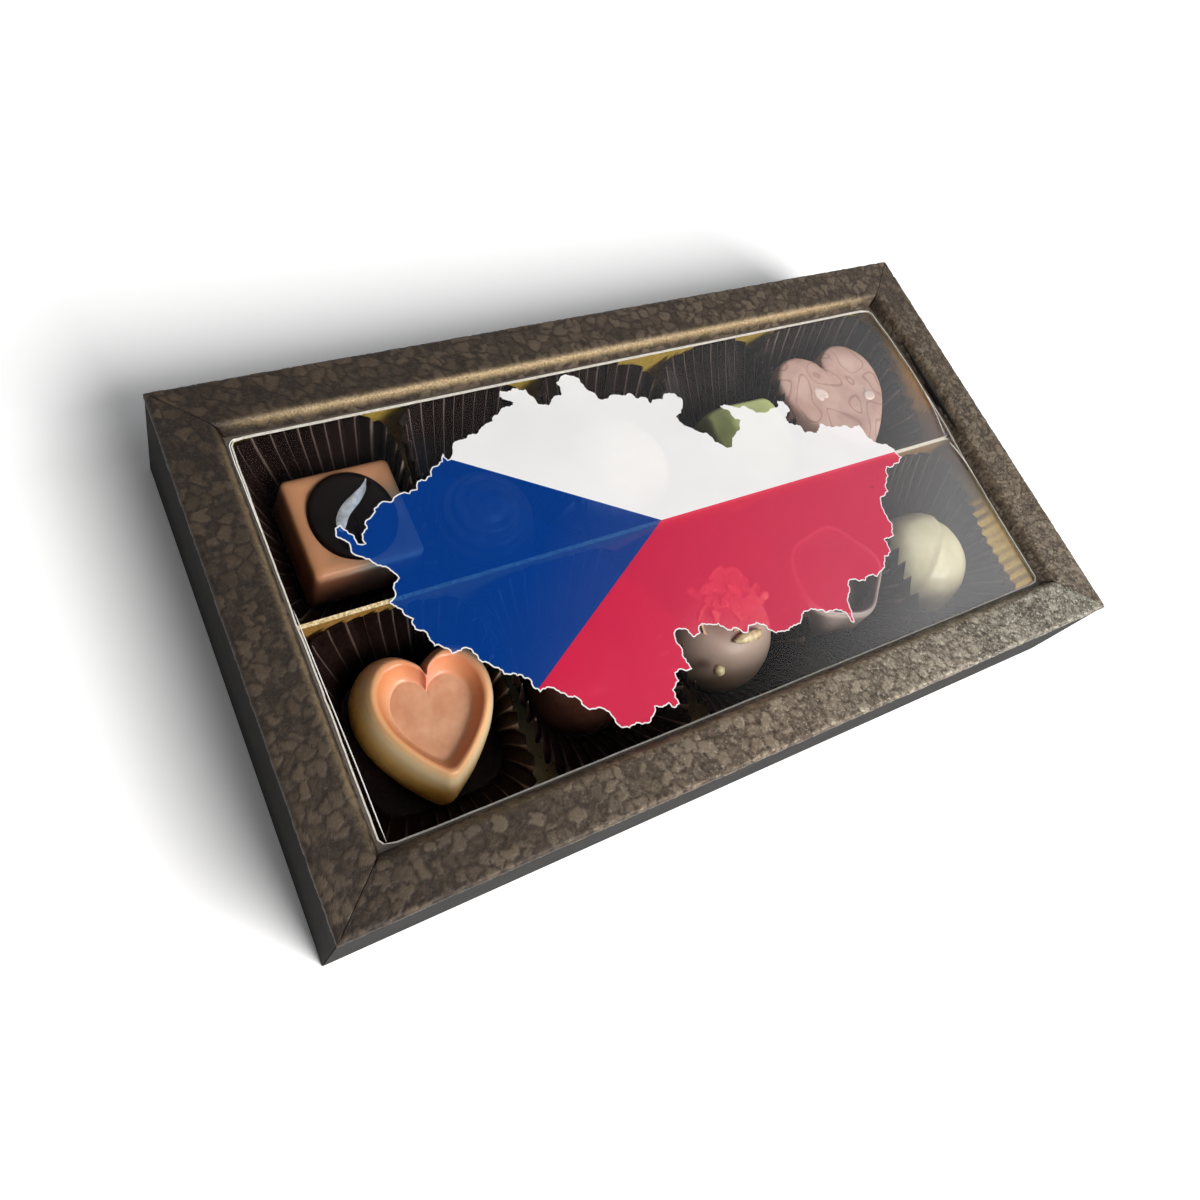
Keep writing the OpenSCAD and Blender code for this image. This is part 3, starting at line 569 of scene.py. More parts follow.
def rail(name, length, turn_deg, offset, streak, sheen_at_ends, fold_highlight_strength, bow, seed):
    """One rail, built along its own length and then turned into place."""
    face = frame_profile()
    back = [(FOLD_U + BEVEL_RUN - FLAP_T, BEVEL_Z), (FOLD_U - FLAP_T / 2, BOX_H - BOARD_T)]
    section = np.vstack([face, back])
    s = np.linspace(-1, 1, int(length / STEP))[:, None]
    along = s * (length / 2 - section[:, 0] - MITRE_GAP / math.sqrt(2))
    u = np.broadcast_to(section[:, 0], along.shape)
    if bow:
        u = u - stepped(bow, s) * eased(u, 4, FOLD_U - INNER_R)
    tangent = np.gradient(face, axis=0)
    normal = np.stack([-tangent[:, 1], tangent[:, 0]], 1)
    normal = np.vstack([normal / np.linalg.norm(normal, axis=1)[:, None], np.zeros((2, 2))])
    way = np.concatenate([[0], np.cumsum(np.linalg.norm(np.diff(section, axis=0), axis=1))])

    def wander(k):
        return 0.9 * smooth_noise(along, way, 2.1, k) + 0.5 * smooth_noise(along, way, 0.9, k + 1)

    # The grain: crackled cells and finer ones, flatter where the rail's painted sheen is high, and smooth at
    # the mitres
    gx, gy = (along + wander(seed)) * streak, way + wander(seed + 2)
    edge, value = cell_edges(gx, gy, 3.1, seed)
    fine, _ = cell_edges(gx, gy, 1.3, seed + 4)
    shine = np.interp(s, (-1, 1), sheen_at_ends)
    crackle = 0.42 * (eased(edge, 0, 0.36) - 0.6) + 0.6 * (value - 0.5) * eased(edge, 0, 0.3)
    rough = 0.16 * smooth_noise(along, way, 0.6, seed + 7) * (0.3 + shine)
    relief = 0.45 + (1 - 0.25 * shine) * crackle + 0.14 * eased(fine, 0, 0.5) + rough
    ends = eased(1 - np.abs(s), 0.0, 0.6 / length)
    height = np.minimum(GRAIN_DEPTH * (np.clip(relief, 0, 1) - 0.75), 0) * ends - 0.12 * (1 - ends)
    x, y = turned(along, u + height * normal[:, 0] - offset, math.radians(turn_deg))
    rings = grid(x, y, section[:, 1] + height * normal[:, 1])
    piece = tubes(name, [rings], PAPER, flip=True, sharp_deg=50)
    bend = way[np.argmin(np.abs(section[:len(face), 0] - (FOLD_U - 0.4)))]
    store(piece, "relief", relief)
    # The painted sheen along the rail and the painted highlight on its inner fold, for the paper's colour
    store(piece, "painted_sheen", np.broadcast_to(shine, along.shape))
    store(piece, "fold", fold_highlight_strength * np.exp(-((way - bend) / 1.1) ** 2) * (1 - s ** 8))
    return piece


def make_frame():
    # Side, length, turn, distance out, stretch of the grain, painted sheen at its ends, painted highlight on
    # the fold, bow, seed
    rails = (
        ("front", BOX_L, 0, BOX_W / 2, 1.0, (0.05, 1.0), 0.28, None, 1),
        ("right", BOX_W, 90, BOX_L / 2, 2.0, (0.6, 0.25), 0.1, RIGHT_BOW, 12),
        ("back", BOX_L, 180, BOX_W / 2, 1.0, (0.3, 0.0), 0.8, None, 23),
        ("left", BOX_W, 270, BOX_L / 2, 1.0, (0.0, 0.1), 0.3, None, 34),
    )
    for side, *rest in rails:
        settle(rail("rail_" + side, *rest), "frame_" + side, "lid")


# The mounting card: its cut white edge shows as a line round the window

CARD_LINE = 0.36
CARD_STEPS = 60
# How far the card's edge wanders in from the window's edge at each side, as (place from -1 to 1, mm)
CARD_LEFT = ((-1, 0.2), (-0.5, 0.0), (0.0, 0.0), (0.5, 0.15), (0.9, 0.35), (1, 0.5))
CARD_RIGHT = (
    (-1, 0.2), (-0.5, -0.2), (-0.15, -0.7), (0.0, -1.2), (0.08, -1.4), (0.5, -1.7), (0.8, -0.9), (1, 0.2),
)
CARD_FRONT = ((-1, 0.2), (-0.9, 0.0), (0.0, -0.1), (0.7, 0.0), (1, 0.2))
CARD_BACK = ((-1, 0.4), (-0.93, 0.1), (0.0, 0.0), (1, 0.1))
# Loose edges of the card that show as a second line: points as (shares of the window's half sizes,
# millimetres in from its edges), then the line's half width
CARD_STRANDS = (
    (((-1, 0.1, 0.3, 0), (-1, -0.3, 0.7, 0), (-1, -0.7, 1.15, 0), (-1, -1, 1.3, 2.2),
      (-1, -1, 1.35, 0.8)), 0.13),
    (((-1, 0.5, -0.2, 0), (-1, 0.75, -0.3, 0), (-1, 1, -0.3, 3.2), (-1, 1, -0.1, 1.2), (-1, 1, 1.0, 0.1),
      (-1, 1, 3.0, -0.3)), 0.13),
    (((1, 0.34, -1.5, 0), (1, 0.2, -0.9, 0), (1, 0.1, 0.1, 0), (1, 0.04, 0.7, 0)), 0.14),
    (((1, -0.02, 0.7, 0), (1, -0.07, 0.1, 0), (1, -0.16, -0.5, 0), (1, -0.3, -0.6, 0)), 0.14),
)


def card_edge(half_l, half_w):
    """The inner edge of the card, from its left front corner round by the right."""
    t = -1 + 2 * np.arange(CARD_STEPS) / CARD_STEPS
    sides = (
        (half_l * t, -half_w + stepped(CARD_FRONT, t)),
        (half_l - stepped(CARD_RIGHT, t), half_w * t),
        (-half_l * t, half_w - stepped(CARD_BACK, -t)),
        (-half_l + stepped(CARD_LEFT, -t), -half_w * t),
    )
    edge = np.vstack([np.column_stack(side) for side in sides])
    edge[:, 0] = np.maximum(edge[:, 0], -half_l + CARD_LEFT[0][1] * (edge[:, 1] < 0))
    edge = (np.roll(edge, 1, 0) + 2 * edge + np.roll(edge, -1, 0)) / 4
    return edge * (1 + 0.05 * smooth_noise(edge[:, 0], edge[:, 1], 2.3, 6) / half_w)[:, None], edge


def mounting_card():
    low, high = box_of("window_mount")
    base, face = low[2], high[2]
    lip = FOLD_U + BEVEL_RUN + 0.7
    half_l, half_w = BOX_L / 2 - lip, BOX_W / 2 - lip
    out, smooth = card_edge(half_l, half_w)
    away = smooth / np.array((half_l, half_w))
    lengthwise = (np.abs(away[:, 0]) > np.abs(away[:, 1]))[:, None]
    direction = np.where(lengthwise, (1, 0), (0, 1)) * np.sign(away)
    middle = out + direction * np.where(direction[:, :1] > 0, 0.7 * CARD_LINE, CARD_LINE)
    far = np.clip(out * 1.2, low[:2], high[:2])
    # From the base up over the white line, and out over the dark face under the frame
    section = ((far, base), (out, base), (out, face - 0.1), (out, face), (middle, face),
               (middle, face - 0.08), (far, face - 0.08))
    rings = np.array([grid(ring[:, 0], ring[:, 1], z) for ring, z in section])
    rows, count = rings.shape[:2]
    last = (rows - 1) * count
    faces = ring_faces(rows, count)
    faces += [(last + i, last + (i + 1) % count, (i + 1) % count, i) for i in range(count)]
    piece = mesh_piece("mounting_card", rings.reshape(-1, 3), flipped(faces), MOUNT)
    tint = np.full((rows * count, 3), (62, 54, 45.0))
    tint[count:5 * count] = (226, 221, 211)
    paint(piece, tint)
    settle(piece, "window_mount", "lid")
    card_strands(half_l, half_w, face)


def card_strands(half_l, half_w, level):
    count = 40
    taper = np.sqrt(np.clip(1 - np.linspace(-1, 1, count) ** 8, 0.05, 1))[:, None]
    across = np.array((1, -1, -1, 0, 1))
    rise = np.array((-0.1, -0.1, 0.04, 0.12, 0.04))
    strands = []
    for stations, width in CARD_STRANDS:
        places = [(a * (half_l - da), b * half_w - math.copysign(db, b)) for a, b, da, db in stations]
        line = filled(places, count)
        along = np.gradient(line, axis=0)
        along /= np.linalg.norm(along, axis=1)[:, None]
        reach = across * width * taper
        x, y = line[:, :1] - along[:, 1:] * reach, line[:, 1:] + along[:, :1] * reach
        strands.append(grid(x, y, level + rise))
    # The part's own plain card, which stays pale where the scene's is painted
    pale = bpy.data.materials["mount_card"]
    piece = tubes("card_edges", strands, pale, flip=True, sharp_deg=180)
    paint(piece, np.full((len(piece.data.vertices), 3), (214, 206, 192.0)))
    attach(piece, "lid")


# The print: the same map as the part's, with its border drawn finer

# Points of the map's outline, in two-hundredths of its reach
MAP_POINTS = (
    (-101, 66), (-100, 62), (-97, 64), (-94, 70), (-88, 71), (-81, 72), (-75, 76), (-70, 77), (-65, 81),
    (-58, 83), (-55, 85), (-58, 87), (-61, 90), (-59, 93), (-52, 93), (-46, 91), (-44, 86), (-43, 81),
    (-38, 79), (-35, 82), (-29, 83), (-27, 88), (-28, 91), (-25, 93), (-15, 91), (-14, 85), (-11, 81),
    (-10, 77), (0, 77), (8, 76), (11, 72), (15, 72), (18, 67), (20, 69), (26, 68), (29, 71), (34, 70),
    (37, 66), (35, 61), (28, 56), (30, 50), (34, 47), (40, 43), (43, 36), (47, 32), (51, 31), (54, 36),
    (62, 41), (65, 45), (61, 49), (57, 56), (63, 55), (71, 53), (74, 50), (81, 46), (91, 47), (94, 51),
    (97, 50), (98, 43), (93, 40), (93, 36), (99, 33), (100, 28), (107, 26), (111, 29), (113, 31), (117, 28),
    (124, 26), (128, 26), (132, 23), (137, 24), (138, 20), (140, 12), (143, 10), (148, 8), (151, 4), (151, 1),
    (153, -2), (148, -5), (142, -6), (139, -5), (136, -11), (131, -19), (123, -22), (121, -27), (120, -40),
    (118, -44), (111, -44), (110, -52), (105, -53), (100, -59), (94, -62), (89, -60), (85, -62), (78, -59),
    (74, -61), (71, -66), (68, -72), (67, -76), (66, -80), (65, -80), (64, -76), (62, -72), (57, -71),
    (50, -68), (46, -66), (41, -66), (36, -71), (25, -72), (17, -68), (13, -63), (8, -63), (6, -66), (1, -62),
    (-5, -60), (-7, -57), (-14, -55), (-17, -55), (-18, -58), (-23, -59), (-24, -55), (-29, -53), (-32, -58),
    (-31, -63), (-32, -69), (-31, -73), (-40, -72), (-40, -76), (-45, -79), (-45, -86), (-48, -87),
    (-50, -84), (-57, -83), (-60, -87), (-64, -89), (-69, -87), (-77, -86), (-78, -82), (-80, -77),
    (-87, -74), (-91, -66), (-94, -65), (-98, -60), (-101, -58), (-105, -59), (-107, -56), (-107, -52),
    (-113, -47), (-117, -46), (-121, -40), (-125, -35), (-129, -29), (-135, -30), (-139, -24), (-141, -24),
    (-142, -17), (-146, -14), (-145, -9), (-148, -4), (-152, 1), (-149, 3), (-148, 6), (-144, 11), (-147, 17),
    (-152, 21), (-159, 28), (-160, 35), (-163, 38), (-162, 42), (-159, 43), (-157, 38), (-155, 36),
    (-155, 32), (-152, 31), (-152, 36), (-148, 42), (-144, 44), (-142, 47), (-136, 49), (-134, 48),
    (-128, 51), (-124, 50), (-120, 51), (-118, 55), (-111, 56), (-109, 60), (-103, 62),
)
# The blue field's corners: its apex and its north and south ends, as shares of the map's reach
FIELD_SHARES = ((-0.045, 0.012), (-0.5, 0.315), (-0.54, -0.295))
KEY_LINE = 0.3
LONGEST_STRETCH = 0.75


def crinkled(points, seed):
    """The outline with smaller and smaller bends put into each stretch."""
    rng = np.random.default_rng(seed)
    while True:
        after = np.roll(points, -1, 0)
        gaps = np.linalg.norm(after - points, axis=1)
        if gaps.max() < LONGEST_STRETCH:
            return points
        grown = []
        for p, q, gap in zip(points, after, gaps):
            grown.append(p)
            if gap >= LONGEST_STRETCH:
                side = np.array([q[1] - p[1], p[0] - q[0]])
                grown.append((p + q) / 2 + side * rng.uniform(-0.2, 0.2))
        points = np.array(grown)


def inside(points, loop):
    x, y = points[:, :1], points[:, 1:]
    a, b = loop, np.roll(loop, -1, 0)
    crosses = (a[:, 1] > y) != (b[:, 1] > y)
    with np.errstate(divide="ignore", invalid="ignore"):
        at = (b[:, 0] - a[:, 0]) * (y - a[:, 1]) / (b[:, 1] - a[:, 1]) + a[:, 0]
    return (np.sum(crosses & (x < at), axis=1) % 2) == 1


def gap_to(points, loop):
    """How far each point lies from the nearest stretch of a loop."""
    span = np.roll(loop, -1, 0) - loop
    t = np.clip(np.einsum("ijk,jk->ij", points[:, None] - loop, span) / np.sum(span ** 2, axis=1), 0, 1)
    return np.linalg.norm(loop + t[..., None] * span - points[:, None], axis=2).min(axis=1)


def crossed(a, b):
    return a[..., 0] * b[..., 1] - a[..., 1] * b[..., 0]


def sheet_faces(flat, tris):
    """Faces of a flat solid: its top from point len(flat) on, its underside and the walls round them."""
    count = len(flat)
    a, b, c = (flat[tris[:, k]] for k in range(3))
    tris = np.where((crossed(b - a, c - a) < 0)[:, None], tris[:, ::-1], tris).tolist()
    sides = {(p, q) for f in tris for p, q in zip(f, f[1:] + f[:1])}
    walls = [(p, q, q + count, p + count) for p, q in sorted(sides) if (q, p) not in sides]
    return [tuple(i + count for i in f) for f in tris] + [tuple(f[::-1]) for f in tris] + walls


def print_fields():
    """The three fields, cut out of one flat mesh whose edges follow the outline and the border."""
    nodes = ("print_white", "print_blue", "print_red")
    low = np.min([box_of(n)[0] for n in nodes], axis=0)
    high = np.max([box_of(n)[1] for n in nodes], axis=0)
    shares = np.array(MAP_POINTS) / 200
    reach = (high[0] - low[0]) / np.ptp(shares[:, 0])
    outer = crinkled(shares * reach, 5)
    along = np.roll(outer, -1, 0) - np.roll(outer, 1, 0)
    along /= np.linalg.norm(along, axis=1)[:, None]
    inner = outer + np.stack([along[:, 1], -along[:, 0]], -1) * KEY_LINE
    apex, north, south = np.array(FIELD_SHARES) * reach
    north, south = north - apex, south - apex
    far = [apex, apex + north * 1.05, apex + south * 1.05, (high[0] + 2, apex[1])]
    n = len(outer)
    edges = [(first + i, first + (i + 1) % n) for first in (0, n) for i in range(n)]
    edges += [(2 * n, 2 * n + k) for k in (1, 2, 3)]
    corners = [Vector(p) for p in np.vstack([outer, inner, far])]
    verts, _, tris, *_ = geometry.delaunay_2d_cdt(corners, edges, [], 0, 1e-5)
    verts = np.array([tuple(v) for v in verts])
    tris = np.array([t for t in tris if len(t) == 3])
    middle = verts[tris].mean(axis=1)
    off = middle - apex
    blue = (crossed(north, off) > 0) & (crossed(south, off) < 0)
    field = np.where(blue, 1, np.where(off[:, 1] < 0, 2, 0))
    field[gap_to(middle, outer) < KEY_LINE * 0.9] = 0
    field[~inside(middle, outer)] = -1
    # Colour, how much it covers and what light it lets through
    inks = (
        ((253, 252, 251), 0.79, (1, 1, 1)),
        ((6, 70, 158), 0.52, (0.55, 0.8, 1.0)),
        ((244, 40, 88), 0.52, (1.0, 0.6, 0.72)),
    )
    for k, (name, look) in enumerate(zip(nodes, inks)):
        used, index = np.unique(tris[field == k], return_inverse=True)
        flat = verts[used]
        faces = sheet_faces(flat, index.reshape(-1, 3))
        points = [(x, y, z) for z in (low[2], high[2]) for x, y in flat]
        settle(mesh_piece(name + "_ink", points, faces, ink(name, *look), smooth=False), name, "lid")


# The cups: knife pleats that open from a foot round the praline to a toothed rim

PAPER_T = 0.22
TOOTH = 3.4
PLEATS = 38
PLEAT_STEPS = 10
FALL = 0.74
FOOT_AIR = 0.75
BACK_RISE = 3.6

# Cup, what it holds, how square its foot is, and how much higher its rim is at the left and the right
CUPS = (
    ("cup_back_1", "square_praline", 9, 1, 3.5),
    ("cup_back_2", "swirl_praline", 2.2, 3.5, 3),
    ("cup_back_3", "striped_praline", 2.2, 3, -2.5),
    ("cup_back_4", "pistachio_praline", 8, -5.5, 0.5),
    ("cup_back_5", "marbled_heart", 4.2, -0.5, 1),
    ("cup_front_1", "caramel_heart", 4.2, 0, 0),
    ("cup_front_2", "plain_praline", 2.2, 0, 0),
    ("cup_front_3", "nut_praline", 2.2, 0, 0),
    ("cup_front_4", "dark_shell", 2.2, 0, 0.5),
    ("cup_front_5", "white_praline", 2.6, 3.6, -1.5),
)


def squircle(half_l, half_w, power, angle):
    c, s = np.cos(angle), np.sin(angle)
    k = (np.abs(c) ** power + np.abs(s) ** power) ** (-1 / power)
    return np.stack([half_l * c * k, half_w * s * k], -1)


def cup(node, filling_node, power, left, right, seed):
    """A pleated cup whose rim stands higher at the back, and by so much at its left and right."""
    low, high = box_of(node)
    rim_at, rim_half = (low + high)[:2] / 2, (high - low)[:2] / 2 * (0.99, 1.08)
    foot_at, foot_l, foot_w, _ = place_of(filling_node)
    rng = np.random.default_rng(seed)
    n = PLEATS * PLEAT_STEPS
    i = np.arange(n)
    which, t = i // PLEAT_STEPS, (i % PLEAT_STEPS) / PLEAT_STEPS
    lean = rng.normal(0, 0.018, PLEATS)[which]
    deep = (1 + rng.normal(0, 0.22, PLEATS))[which]
    side = np.cos(TAU * i / n)
    tall = rng.normal(0, 0.3, PLEATS)[which] + 0.5 + BACK_RISE * np.sin(TAU * i / n)
    tall += np.clip(-side, 0, 1) * left + np.clip(side, 0, 1) * right
    angle = TAU * (i / n) + lean * np.sin(math.pi * t)
    wave = np.where(t < FALL, t / FALL, (1 - t) / (1 - FALL))
    h = np.linspace(0, 1, 13)[:, None]
    flare = h[..., None] ** 1.25
    foot = squircle(foot_l + FOOT_AIR, foot_w + FOOT_AIR, power, angle)
    rim = squircle(*rim_half, 5, angle)
    centre = foot_at[:2] * (1 - flare) + rim_at * flare
    outline = foot * (1 - flare) + rim * flare
    size = np.linalg.norm(outline, axis=2)
    inward = (0.35 + h) * deep * (1 - wave)
    outer = centre + outline * ((size - inward) / size)[..., None]
    top = (high[2] - low[2]) * h + (TOOTH * (0.45 - t) * h ** 6 + tall) * h ** 2
    rise = low[2] + np.clip(top, 0, None)
    away = outer - centre
    inner = outer - away / np.linalg.norm(away, axis=2, keepdims=True) * PAPER_T
    lining = rise.copy()
    lining[0] += PAPER_T
    outside, lined = (grid(p[..., 0], p[..., 1], z) for p, z in ((outer, rise), (inner, lining)))
    piece = ringed(node + "_paper", np.concatenate([outside, lined[::-1]]), CUP, sharp_deg=28)
    # A painted highlight along each pleat's crest, brighter up the wall and brightest at the tips
    crest_highlight = (t == 0) * (0.55 + 0.45 * np.clip(2 * deep - 1.4, 0, 1))
    up = np.concatenate([h, h[::-1]])
    store(piece, "crest_highlight", np.append(crest_highlight * (0.12 + 0.6 * up + 0.28 * (up > 0.9)), [0, 0]))
    settle(piece, node)


def lining_fold():
    """The lining's foil, buckled out of the wall beside the last cup."""
    wall = box_of("lining_right")[0][0]
    y = np.linspace(-49.5, -13, 180)[:, None]
    teeth = np.abs((y / 3.1 + 0.15 * smooth_noise(y, y * 0, 6, 4)) % 1 - 0.5)
    run = np.clip((-11 - y) / 18, 0.1, 1) * (0.75 + 0.9 * teeth)
    away, z = np.array(((0, 24.6), (1.1, 22.2), (2.6, 20.3), (2.5, 20.1), (0.95, 22.0), (0, 24.0))).T
    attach(tubes("lining_fold", [grid(wall - away * run, y, z)], GOLD, flip=True), "tray")


# The pralines

ROUND = 96
BEAN_RISE = 1.3
BEAN_FOOT = 0.3
FLAKES = 26

# Right half of a heart from its cleft to its tip, as shares of half its width and half its length
HEART_SHARES = (
    (0, 0.66), (0.1, 0.84), (0.4, 1), (0.72, 0.93), (0.95, 0.62), (0.98, 0.22), (0.82, -0.2), (0.5, -0.62),
    (0.16, -0.93),
)
PISTACHIO_SHARES = (
    (-0.93, 0.89), (-0.5, 1), (0.4, 1), (0.85, 0.95), (1, 0.6), (1, 0.05), (0.85, -0.5), (0.45, -0.9),
    (-0.1, -1), (-0.6, -0.85), (-0.92, -0.4), (-0.98, 0.2), (-0.94, 0.7),
)
WHITE_SHARES = (
    (-0.35, 0.98), (0.25, 1), (0.62, 0.86), (0.7, 0.68), (0.9, 0.42), (1, -0.02), (0.88, -0.5), (0.5, -0.87),
    (0, -1), (-0.5, -0.88), (-0.86, -0.5), (-1, 0), (-0.9, 0.5), (-0.68, 0.82),
)
# The painted highlight on the bean, a pale streak: its middle line and half widths, as shares of the bean's
# half sizes
BEAN_HIGHLIGHT_SHARES = (
    (-0.44, -0.38, 0.04), (-0.4, -0.25, 0.085), (-0.28, -0.06, 0.1), (-0.06, 0.13, 0.105), (0.2, 0.3, 0.085),
    (0.42, 0.48, 0.05), (0.56, 0.68, 0.01),
)
# The dots on the marbled heart: place from the heart's middle, radius and how far they sink in
DOT_PLACES = ((-6.1, 3.2, 2.4, 0.1), (10.4, -1.2, 1.9, 0.1), (9.6, 13.0, 1.9, 0.15))
# The nut pieces: place and half sizes, from the middle of the nut praline's foot
NUT_PLACES = (
    (-10.2, -12.0, 13.4, 1.5, 1.5, 1.4), (1.0, -7.0, 14.9, 4.4, 1.5, 1.3), (11.5, 2.0, 13.8, 1.6, 1.4, 1.2),
)


def turns(count=ROUND):
    return np.arange(count) / count * TAU


def filled(levels, count):
    """More levels on a smooth line through the given ones, spaced by the way along it."""
    levels = np.array(levels, float)
    way = np.concatenate([[0], np.cumsum(np.linalg.norm(np.diff(levels, axis=0), axis=1))])
    t = np.linspace(0, way[-1], count)
    tangent = np.gradient(levels, way, axis=0)
    k = np.clip(np.searchsorted(way, t, side="right") - 1, 0, len(way) - 2)
    span = way[k + 1] - way[k]
    f = ((t - way[k]) / span)[:, None]
    span = span[:, None]
    ends = (2 * f**3 - 3 * f**2 + 1) * levels[k] + (3 * f**2 - 2 * f**3) * levels[k + 1]
    return ends + (f**3 - 2 * f**2 + f) * tangent[k] * span + (f**3 - f**2) * tangent[k + 1] * span


def stacked(centre, outline, height, levels):
    """Rings of one outline, each at a share of the height with a share of the outline."""
    z, share = np.array(levels).T[..., None]
    return centre + grid(outline[:, 0] * share, outline[:, 1] * share, z * height)


def outline_loop(shares, half_l, half_w, count=96):
    """A smooth closed curve through points given as shares, counter-clockwise."""
    pts = np.array(shares[::-1], float) * (half_l, half_w)
    s = np.linspace(0, len(pts), count, endpoint=False)
    i = s.astype(int)
    t = (s - i)[:, None]
    p0, p1, p2, p3 = (pts[(i + k) % len(pts)] for k in (-1, 0, 1, 2))
    bends = (2 * p0 - 5 * p1 + 4 * p2 - p3) * t**2 + (3 * p1 - p0 - 3 * p2 + p3) * t**3
    return (2 * p1 + (p2 - p0) * t + bends) / 2


def heart(width, length, turn_deg, count=144):
    left = tuple((-x, y) for x, y in HEART_SHARES[:0:-1])
    loop = outline_loop(HEART_SHARES + ((0, -1),) + left, width / 2, length / 2, count)
    return np.stack(turned(loop[:, 0], loop[:, 1], math.radians(turn_deg)), -1)


def rounded_square(half, radius, steps=14):
    corners = []
    for q, (sx, sy) in enumerate(((1, 1), (-1, 1), (-1, -1), (1, -1))):
        a = np.linspace(q, q + 1, steps) * TAU / 4
        flat = half - radius
        corners.append(np.stack([sx * flat + radius * np.cos(a), sy * flat + radius * np.sin(a)], -1))
    return np.concatenate(corners)


def dome_rings(node, count=ROUND, rows=44):
    at, half, _, high = place_of(node)
    a = np.linspace(0, math.pi / 2, rows)[:-1, None]
    radius = half * np.cos(a) ** 0.8
    th = turns(count)
    return at + grid(radius * np.cos(th), radius * np.sin(th), high * np.sin(a) ** 0.9), at, half, high


def square_praline():
    at, half, _, high = place_of("square_praline")
    levels = [(0, 0.985), (0.05, 1), (0.5, 0.985), (0.88, 0.968), (0.95, 0.96), (0.985, 0.943), (1, 0.915),
              (1, 0.5)]
    rings = stacked(at, rounded_square(half, 1.5), high, filled(levels, 40))
    milk = chocolate("milk_chocolate", (150, 104, 78), (176, 128, 98), 0.42, tint=True)
    piece = moulded("square_block", "square_praline", rings, milk, 40)
    p = points_of(piece)
    rise = (p[:, 2] - at[2]) / high
    # Painted shade: the sides darker than the top
    tone = blended([(0, (92, 52, 36)), (0.8, (134, 82, 60)), (0.93, (186, 138, 106)), (0.98, (188, 134, 96)),
                    (1, (184, 130, 92))], rise)
    # The upper edge at the front catches the light, more so to the right
    x, y = ((p - at) / half)[:, :2].T
    edge = eased(rise, 0.84, 0.94) * (1 - eased(rise, 0.97, 1.0)) * eased(-y, 0.8, 0.95) * eased(x, -0.7, 0.1)
    paint(piece, toward(tone, (246, 226, 206), edge[:, None]))


def bean_height(u, v):
    """Height share of the bean at shares of its half sizes, with a curved groove down its middle."""
    dome = np.sqrt(np.clip(1 - u * u - v * v, 0, 1))
    line = 0.1 + 0.45 * v + 0.5 * v * v
    groove = np.exp(-(((u - line) / 0.1) ** 2)) * eased(1 - np.hypot(u, v), 0.0, 0.25)
    return np.clip(dome ** 0.85 - 0.3 * groove, 0, 1)


def bean():
    at, half_l, half_w, high = place_of("bean_topping")
    rise = high + BEAN_RISE - BEAN_FOOT

    def on_bean(u, v, lift=0.0):
        return at + grid(half_l * u, half_w * v, BEAN_FOOT + rise * bean_height(u, v) + lift)

    th = turns()
    shares = np.linspace(1, 0, 34)[:-1, None] ** 0.8
    foot = at + grid(half_l * 0.97 * np.cos(th), half_w * 0.97 * np.sin(th), 0)
    rings = np.concatenate([foot[None], on_bean(shares * np.cos(th), shares * np.sin(th))])
    dark = chocolate("dark_chocolate", (7, 4, 4), (22, 13, 13), 0.3, coat=0.03, bump=0.0, gloss=0.06)
    moulded("coffee_bean", "bean_topping", rings, dark, 40)
    # A painted highlight: a thin pale streak over the bean, from its upper side round to its underside
    line, v, width = filled(BEAN_HIGHLIGHT_SHARES, 26).T[..., None]
    across = np.linspace(-1, 1, 7)
    u, v = line + across * width, v - across * width * 0.7
    tops = on_bean(u, v, 0.03 + 0.22 * np.sqrt(1 - across ** 2))
    unders = on_bean(u, v, -0.1)
    streak = np.concatenate([tops, unders[:, ::-1]], axis=1)
    pale = plain("pale_glaze", (188, 192, 198), 0.22, coat=0.4, grain=2.2, shade=0.72)
    settle(tubes("bean_shine", [streak], pale), "bean_glaze")


def swirl_praline():
    rings, at, *_ = dome_rings("swirl_praline", 128, 72)
    rise = np.linspace(0, 1, rings.shape[0])[:, None]
    coil = 0.5 + 0.5 * np.cos(TAU * (rise * 5.2) - turns(128))
    push = (coil ** 0.6 - 1) * 1.3 * (1 - rise) ** 0.3 * eased(rise, 0.0, 0.1)
    away = rings - at
    rings = rings + away / np.linalg.norm(away, axis=2, keepdims=True) * push[..., None]
    dark = chocolate("plain_chocolate", (70, 44, 34), (120, 86, 68), 0.3, coat=0.3)
    moulded("swirl_dome", "swirl_praline", rings, dark)


def striped_praline():
    rings, at, half, high = dome_rings("striped_praline")
    rose = chocolate("rose_chocolate", (196, 168, 154), (232, 212, 202), 0.42)
    moulded("striped_dome", "striped_praline", rings, rose)
    low, top = box_of("dome_stripes")
    count, radius = 5, 0.75
    pitch = (top[1] - low[1]) / count * 1.12
    t, a = np.linspace(-1, 1, 34)[:, None], turns(8)
    stripes = []
    for k in range(count):
        off = (k - (count - 1) / 2) * pitch
        reach = half * math.sqrt(max(1 - (off / half) ** 2, 0.05)) * 0.86
        r = np.minimum(np.hypot(reach * t, off) / half, 0.999)
        z = at[2] + high * (1 - r ** 2.5) ** 0.45
        w = radius * (1 - t ** 6) + 0.05
        y = at[1] + off + w * np.cos(a) + 0.15 * np.sin(3 * t + k)
        stripes.append(grid(at[0] + reach * t, y, np.minimum(z + w * 0.6 * np.sin(a), top[2])))
    icing = plain("stripe_icing", (240, 226, 218), 0.4, grain=2)
    settle(tubes("icing_stripes", stripes, icing, flip=True), "dome_stripes")


